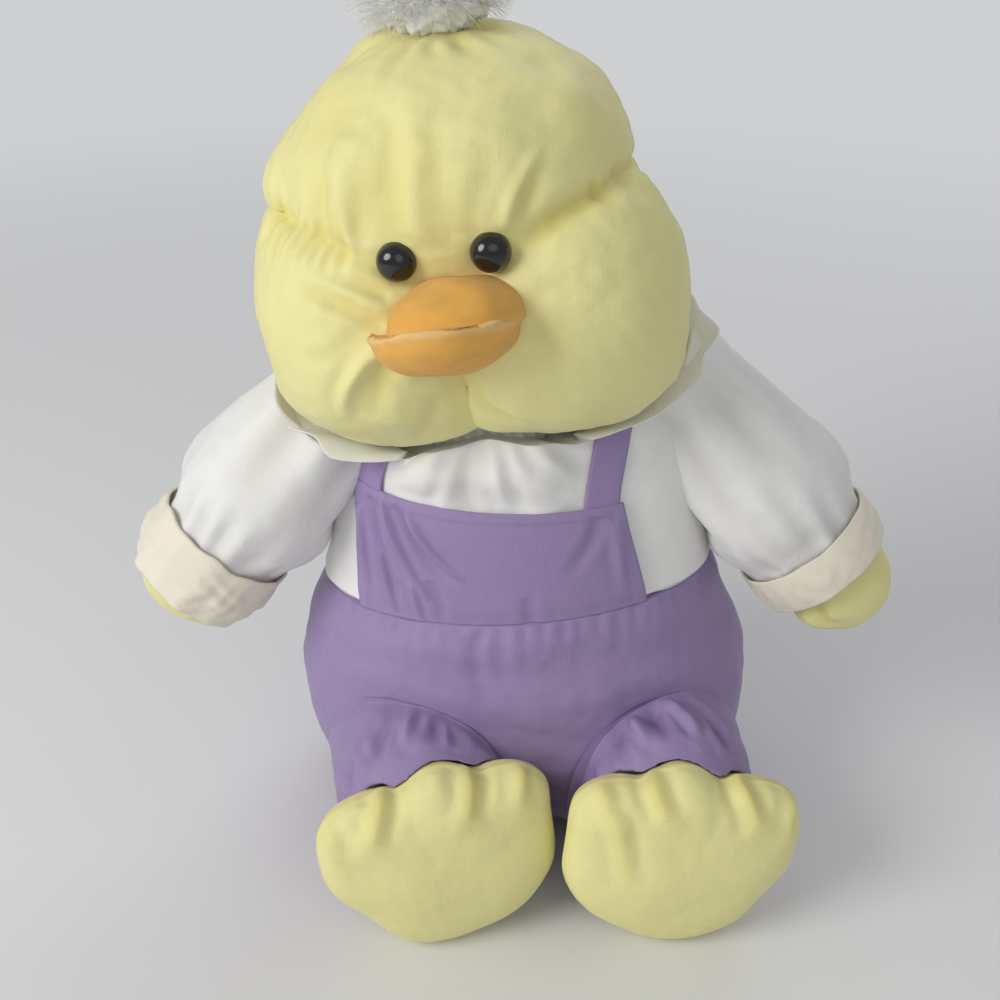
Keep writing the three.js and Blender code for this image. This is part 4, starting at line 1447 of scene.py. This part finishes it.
def build_sleeve(side):
    sign = sides[side]
    stops = [(sleeve_end, 3 - sleeve_length), (sleeve_end + 2.6, -83), (sleeve_radius, sleeve_swell)]
    flank = curve([*stops, (shoulder_radius, 0)], 12)
    profile = [(0, -sleeve_length), (sleeve_end - 3, -sleeve_length), *flank]
    profile += arc(shoulder_radius, 0, shoulder_radius)
    skin = turned_skin(profile, 220, 150)
    chance = np.random.default_rng(71 + sign)
    for angle in np.arange(0, 360, 26.0):
        a = rad(angle + chance.uniform(-7, 7))
        b = a + chance.uniform(-0.25, 0.25)
        low = -sleeve_length + chance.uniform(8, 13)
        high = low + chance.uniform(26, 52)
        line = [round_point(a, 30, low), round_point(b, 33, high)]
        skin.gather(line, chance, (0.7, 1.7), (3.2, 5.0), peak=0.25, lip=0.5)
    for angle, depth in sleeve_folds:
        line = curve([round_point(rad(angle), *stop) for stop in ((27, 4), (31, -26), (34, -58))])
        skin.crease(line, depth, 6.0, peak=0.35)
    skin.settle()
    skin.uneven((0.6, 32, 75), (0.1, 11, 76))
    turn, place = arm_frame(side)
    skin.moved(turn, place)
    # It lies on the body's side, and goes no further in than its limit
    x, y, z = skin.points.T
    across = x + body_lean * z
    limit = np.interp(z, *flank_limits)
    body = half_width(z) - 0.8 + 3.2 * smooth(across * sign - limit, 0, 14)
    out = np.maximum(body / np.maximum(np.hypot(across, y / depth_share), 1e-6), 1)
    across = sign * (limit + np.logaddexp(0, (across * out * sign - limit) / flank_soft) * flank_soft)
    skin.points = np.stack([across - body_lean * z, y * out, z], axis=-1)
    skin.points = clear_of_head(below_head(skin.points, sleeve_below), sleeve_gap)
    bending(skin, f"sleeve_cloth_{side}", white, "shirt_cloth", f"sleeve_{side}",
            place, turn @ np.array([0, 0, -1.0]), (4, 46))


def build_cuff(side):
    """A band folded back over the sleeve's end."""
    low = -sleeve_length - cuff_overhang[side]
    height = cuff_height[side]
    crumple = cuff_crumple[side]
    round_it = np.linspace(0, 2 * np.pi, 220, endpoint=False)
    shares, turns = np.meshgrid(np.linspace(0, 1, 34), round_it, indexing="ij")
    wave = crumple * (0.5 * np.sin(7 * turns + 1) + 0.35 * np.sin(12 * turns + 2.3))
    radius = cuff_low[side] + (cuff_high - cuff_low[side]) * shares**0.8 + 0.9 * np.sin(np.pi * shares)
    radius += 0.5 * wave * (1 - shares) ** 2 + 0.25 * wave
    rise = low + height * shares + 0.6 * wave * shares
    front = np.stack([radius * np.cos(turns), radius * np.sin(turns), rise], axis=-1)
    skin = sheet_skin(front, cuff_cloth, closed=True)
    chance = np.random.default_rng(81 + sides[side])
    for angle in np.arange(0, 360, 15.0):
        a = rad(angle + chance.uniform(-6, 6))
        b = a + chance.uniform(-0.35, 0.35)
        start = round_point(a, 32, low + chance.uniform(1, 6))
        end = round_point(b, 33.5, low + height * chance.uniform(0.55, 0.95))
        skin.crease([start, end], crumple * chance.uniform(0.3, 0.8), chance.uniform(1.6, 2.8), lip=0.5)
    for _ in range(cuff_rolls[side]):
        a = rad(chance.uniform(0, 360))
        z = low + height * chance.uniform(0.25, 0.75)
        slope = chance.uniform(-4, 4)
        line = [round_point(a + 0.4 * t, 33, z + slope * t) for t in np.linspace(-1, 1, 6)]
        skin.crease(line, crumple * 0.8, 2.2, lip=0.5)
    skin.settle()
    skin.moved(*arm_frame(side))
    cloth(skin, f"cuff_band_{side}", cream, "cuff_cloth", f"arm_{side}", f"cuff_{side}",
          flat=(0.205, height * MM), held="folded", rests_on=[f"sleeve_cloth_{side}"])


def build_hand(side):
    inwards = -sides[side]
    root = -sleeve_length - hand_gap
    palm = root - palm_length
    fingers = arc(hand_radius, palm, palm_length - hand_length[side])[:-1]
    profile = [(0, root - hand_length[side]), *reversed(fingers), (wrist_radius, root), (0, root)]
    skin = turned_skin(profile, 180, 90)
    skin.points[:, 1] *= hand_flatness
    thumb = [(inwards * 12, -19, palm + 6), (inwards * 14, -18, palm - 6), (inwards * 11, -15, palm - 15)]
    skin.crease(curve(thumb), 3.0, 3.2, lip=0.5)
    skin.dent((inwards * 20, -9, palm - 3), -1.6, 8)
    chance = np.random.default_rng(91 - inwards)
    for angle in np.arange(0, 360, 22.0):
        ring = round_point(rad(angle + chance.uniform(-6, 6)), 21.5, 0) * (1, hand_flatness, 1)
        line = [ring + (0, 0, root), ring * 1.05 + (0, 0, root - chance.uniform(8, 16))]
        skin.gather(line, chance, (0.3, 0.9), (1.6, 2.4), peak=0.2, lip=0.5)
    skin.settle()
    skin.uneven((0.35, 24, 95))
    skin.points[:, 2] = np.minimum(skin.points[:, 2], root)
    skin.moved(*arm_frame(side))
    name = f"hand_mitten_{side}"
    stuffed(skin, name, yellow, "yellow_cloth", f"arm_{side}", f"hand_{side}", fill=0.65)


# Collar: two flaps of sheer cloth that cup the underside of the head

collar_root = -60  # degrees of elevation of its sewn edge, seen from the middle of the head
collar_rim = ([50, 60, 70, 80, 95, 130, 176], [-53, -46, -40, -34, -27, -17, -13])  # free edge, by azimuth
collar_front = {"left": 56, "right": 50}  # degrees from the face to a flap's front edge
collar_corner = 14  # degrees over which its front corner is rounded
collar_back = 4  # degrees from the back to a flap's back edge
collar_gap = 1.2
collar_cloth = 0.5
collar_flare = {  # how far the free edge turns out, by azimuth
    "left": ([50, 72, 90, 110, 150, 176], [1, 3, 9, 10, 5, 3]),
    "right": ([50, 62, 76, 90, 150, 176], [1.5, 5, 7, 6, 4, 3]),
}


def build_collar(side):
    """A flap that cups the head's underside closely and turns out in a ruffle at its free edge."""
    sign = sides[side]
    angles = np.linspace(collar_front[side], 180 - collar_back, 190)
    shares, angles = np.meshgrid(np.linspace(0, 1, 60), angles, indexing="ij")
    ruffle = np.sin(np.radians(angles * 15) + sign) + 0.6 * np.sin(np.radians(angles * 26) + 2 * sign)
    corner = 1 - np.clip((angles - collar_front[side]) / collar_corner, 0, 1)
    rim = np.interp(angles, *collar_rim) + 0.4 * ruffle
    rim = collar_root + (rim - collar_root) * (0.1 + 0.9 * np.sqrt(1 - corner**2))
    ways = head_way(sign * angles, collar_root + (rim - collar_root) * shares)
    flare = np.interp(angles, *collar_flare[side])
    reach = head_room(ways) + collar_gap + collar_cloth + flare * shares**3
    reach += (0.25 + 0.2 * flare) * ruffle * shares**2 + 0.7 * shares**2
    front = ways * reach[..., None]
    skin = sheet_skin(front[:, ::sign], collar_cloth)
    skin.moved(head_turned, head_place)
    cloth(skin, f"collar_flap_{side}", sheer, "collar_cloth", "body", f"collar_{side}",
          flat=(0.165, 0.05), held="draped", rests_on=["shirt_body"])


# Tuft: strands of fur that stand on a soft core on the crown

tuft_base = np.array([0, 4, 79])
tuft_core = np.array([19, 16, 13])
tuft_half = np.array([32, 29, 27])  # of the rounded space that no strand leaves
tuft_middle = tuft_base + (0, 0, 18)
tuft_strands = 2300
strand_steps = 7
strand_sides = (0, 2.1, 4.2)  # in radians


def grow_strand(chance, core_middle, first):
    """One strand's points, how far into the fur each lies, which paints shade near its root, and its faces,
    numbered from its first point.
    """
    spin = chance.uniform(0, 2 * np.pi)
    ring = math.sqrt(chance.uniform(0, 1))
    lean = ring * rad(112) * chance.uniform(0.7, 1.05)
    way = round_point(spin, math.sin(lean), math.cos(lean))
    at = core_middle + way * tuft_core * 0.92
    way = unit(way + chance.normal(0, 0.36, 3))
    step = chance.uniform(9, 20) / (strand_steps - 1)
    curl = chance.normal(0, 0.5, 3)
    width = chance.uniform(0.09, 0.17)
    across = unit(np.cross(way, chance.normal(size=3)))
    other = np.cross(way, across)
    points, depths = [], []
    for share in np.linspace(0, 1, strand_steps):
        thin = width * (1 - 0.85 * share)
        points += [at + thin * (math.cos(turn) * across + math.sin(turn) * other) for turn in strand_sides]
        # Painted shade, strongest at the root
        depths += [0.8 * (1 - share) ** 2] * 3
        way = unit(way + 0.16 * curl - (0, 0, 0.27 * share))
        at = at + way * step
    last = first + 3 * (strand_steps - 1)
    faces = [(a + j, a + (j + 1) % 3, a + (j + 1) % 3 + 3, a + j + 3)
             for a in range(first, last, 3) for j in range(3)]
    faces += [(first + 2, first + 1, first), (last, last + 1, last + 2)]
    return points, depths, faces


def build_tuft():
    chance = np.random.default_rng(7)
    core_middle = tuft_base + (0, 0, tuft_core[2] - 3)
    core = ball_skin(lambda ways: core_middle + ways * tuft_core, 5)
    core.uneven((1.6, 7, 8), (0.8, 3, 9))
    points = core.points.tolist()
    depths = [0.0] * len(points)
    faces = list(core.faces)
    for _ in range(tuft_strands):
        more = grow_strand(chance, core_middle, len(points))
        for had, new in zip((points, depths, faces), more):
            had.extend(new)
    skin = Skin(points, faces)
    # Painted shade among the strands near their roots; the core has none
    skin.fold_shade = np.array(depths)
    local = (skin.points - tuft_middle) / tuft_half
    far = np.linalg.norm(local, axis=1)[:, None]
    skin.points = np.where(far > 1, tuft_middle + local / far * tuft_half, skin.points)
    skin.moved(head_turned, head_place)
    made = skin.piece("tuft_strands", fur, "white_fur")
    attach(made, "head")
    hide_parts("fur_tuft")


build_shirt()
build_neck()
build_seat()
build_bib()
build_tuft()
for side in sides:
    build_strap(side)
    sunk = build_foot(side)
    build_leg(side, sunk)
    build_sleeve(side)
    build_cuff(side)
    build_hand(side)
    build_collar(side)
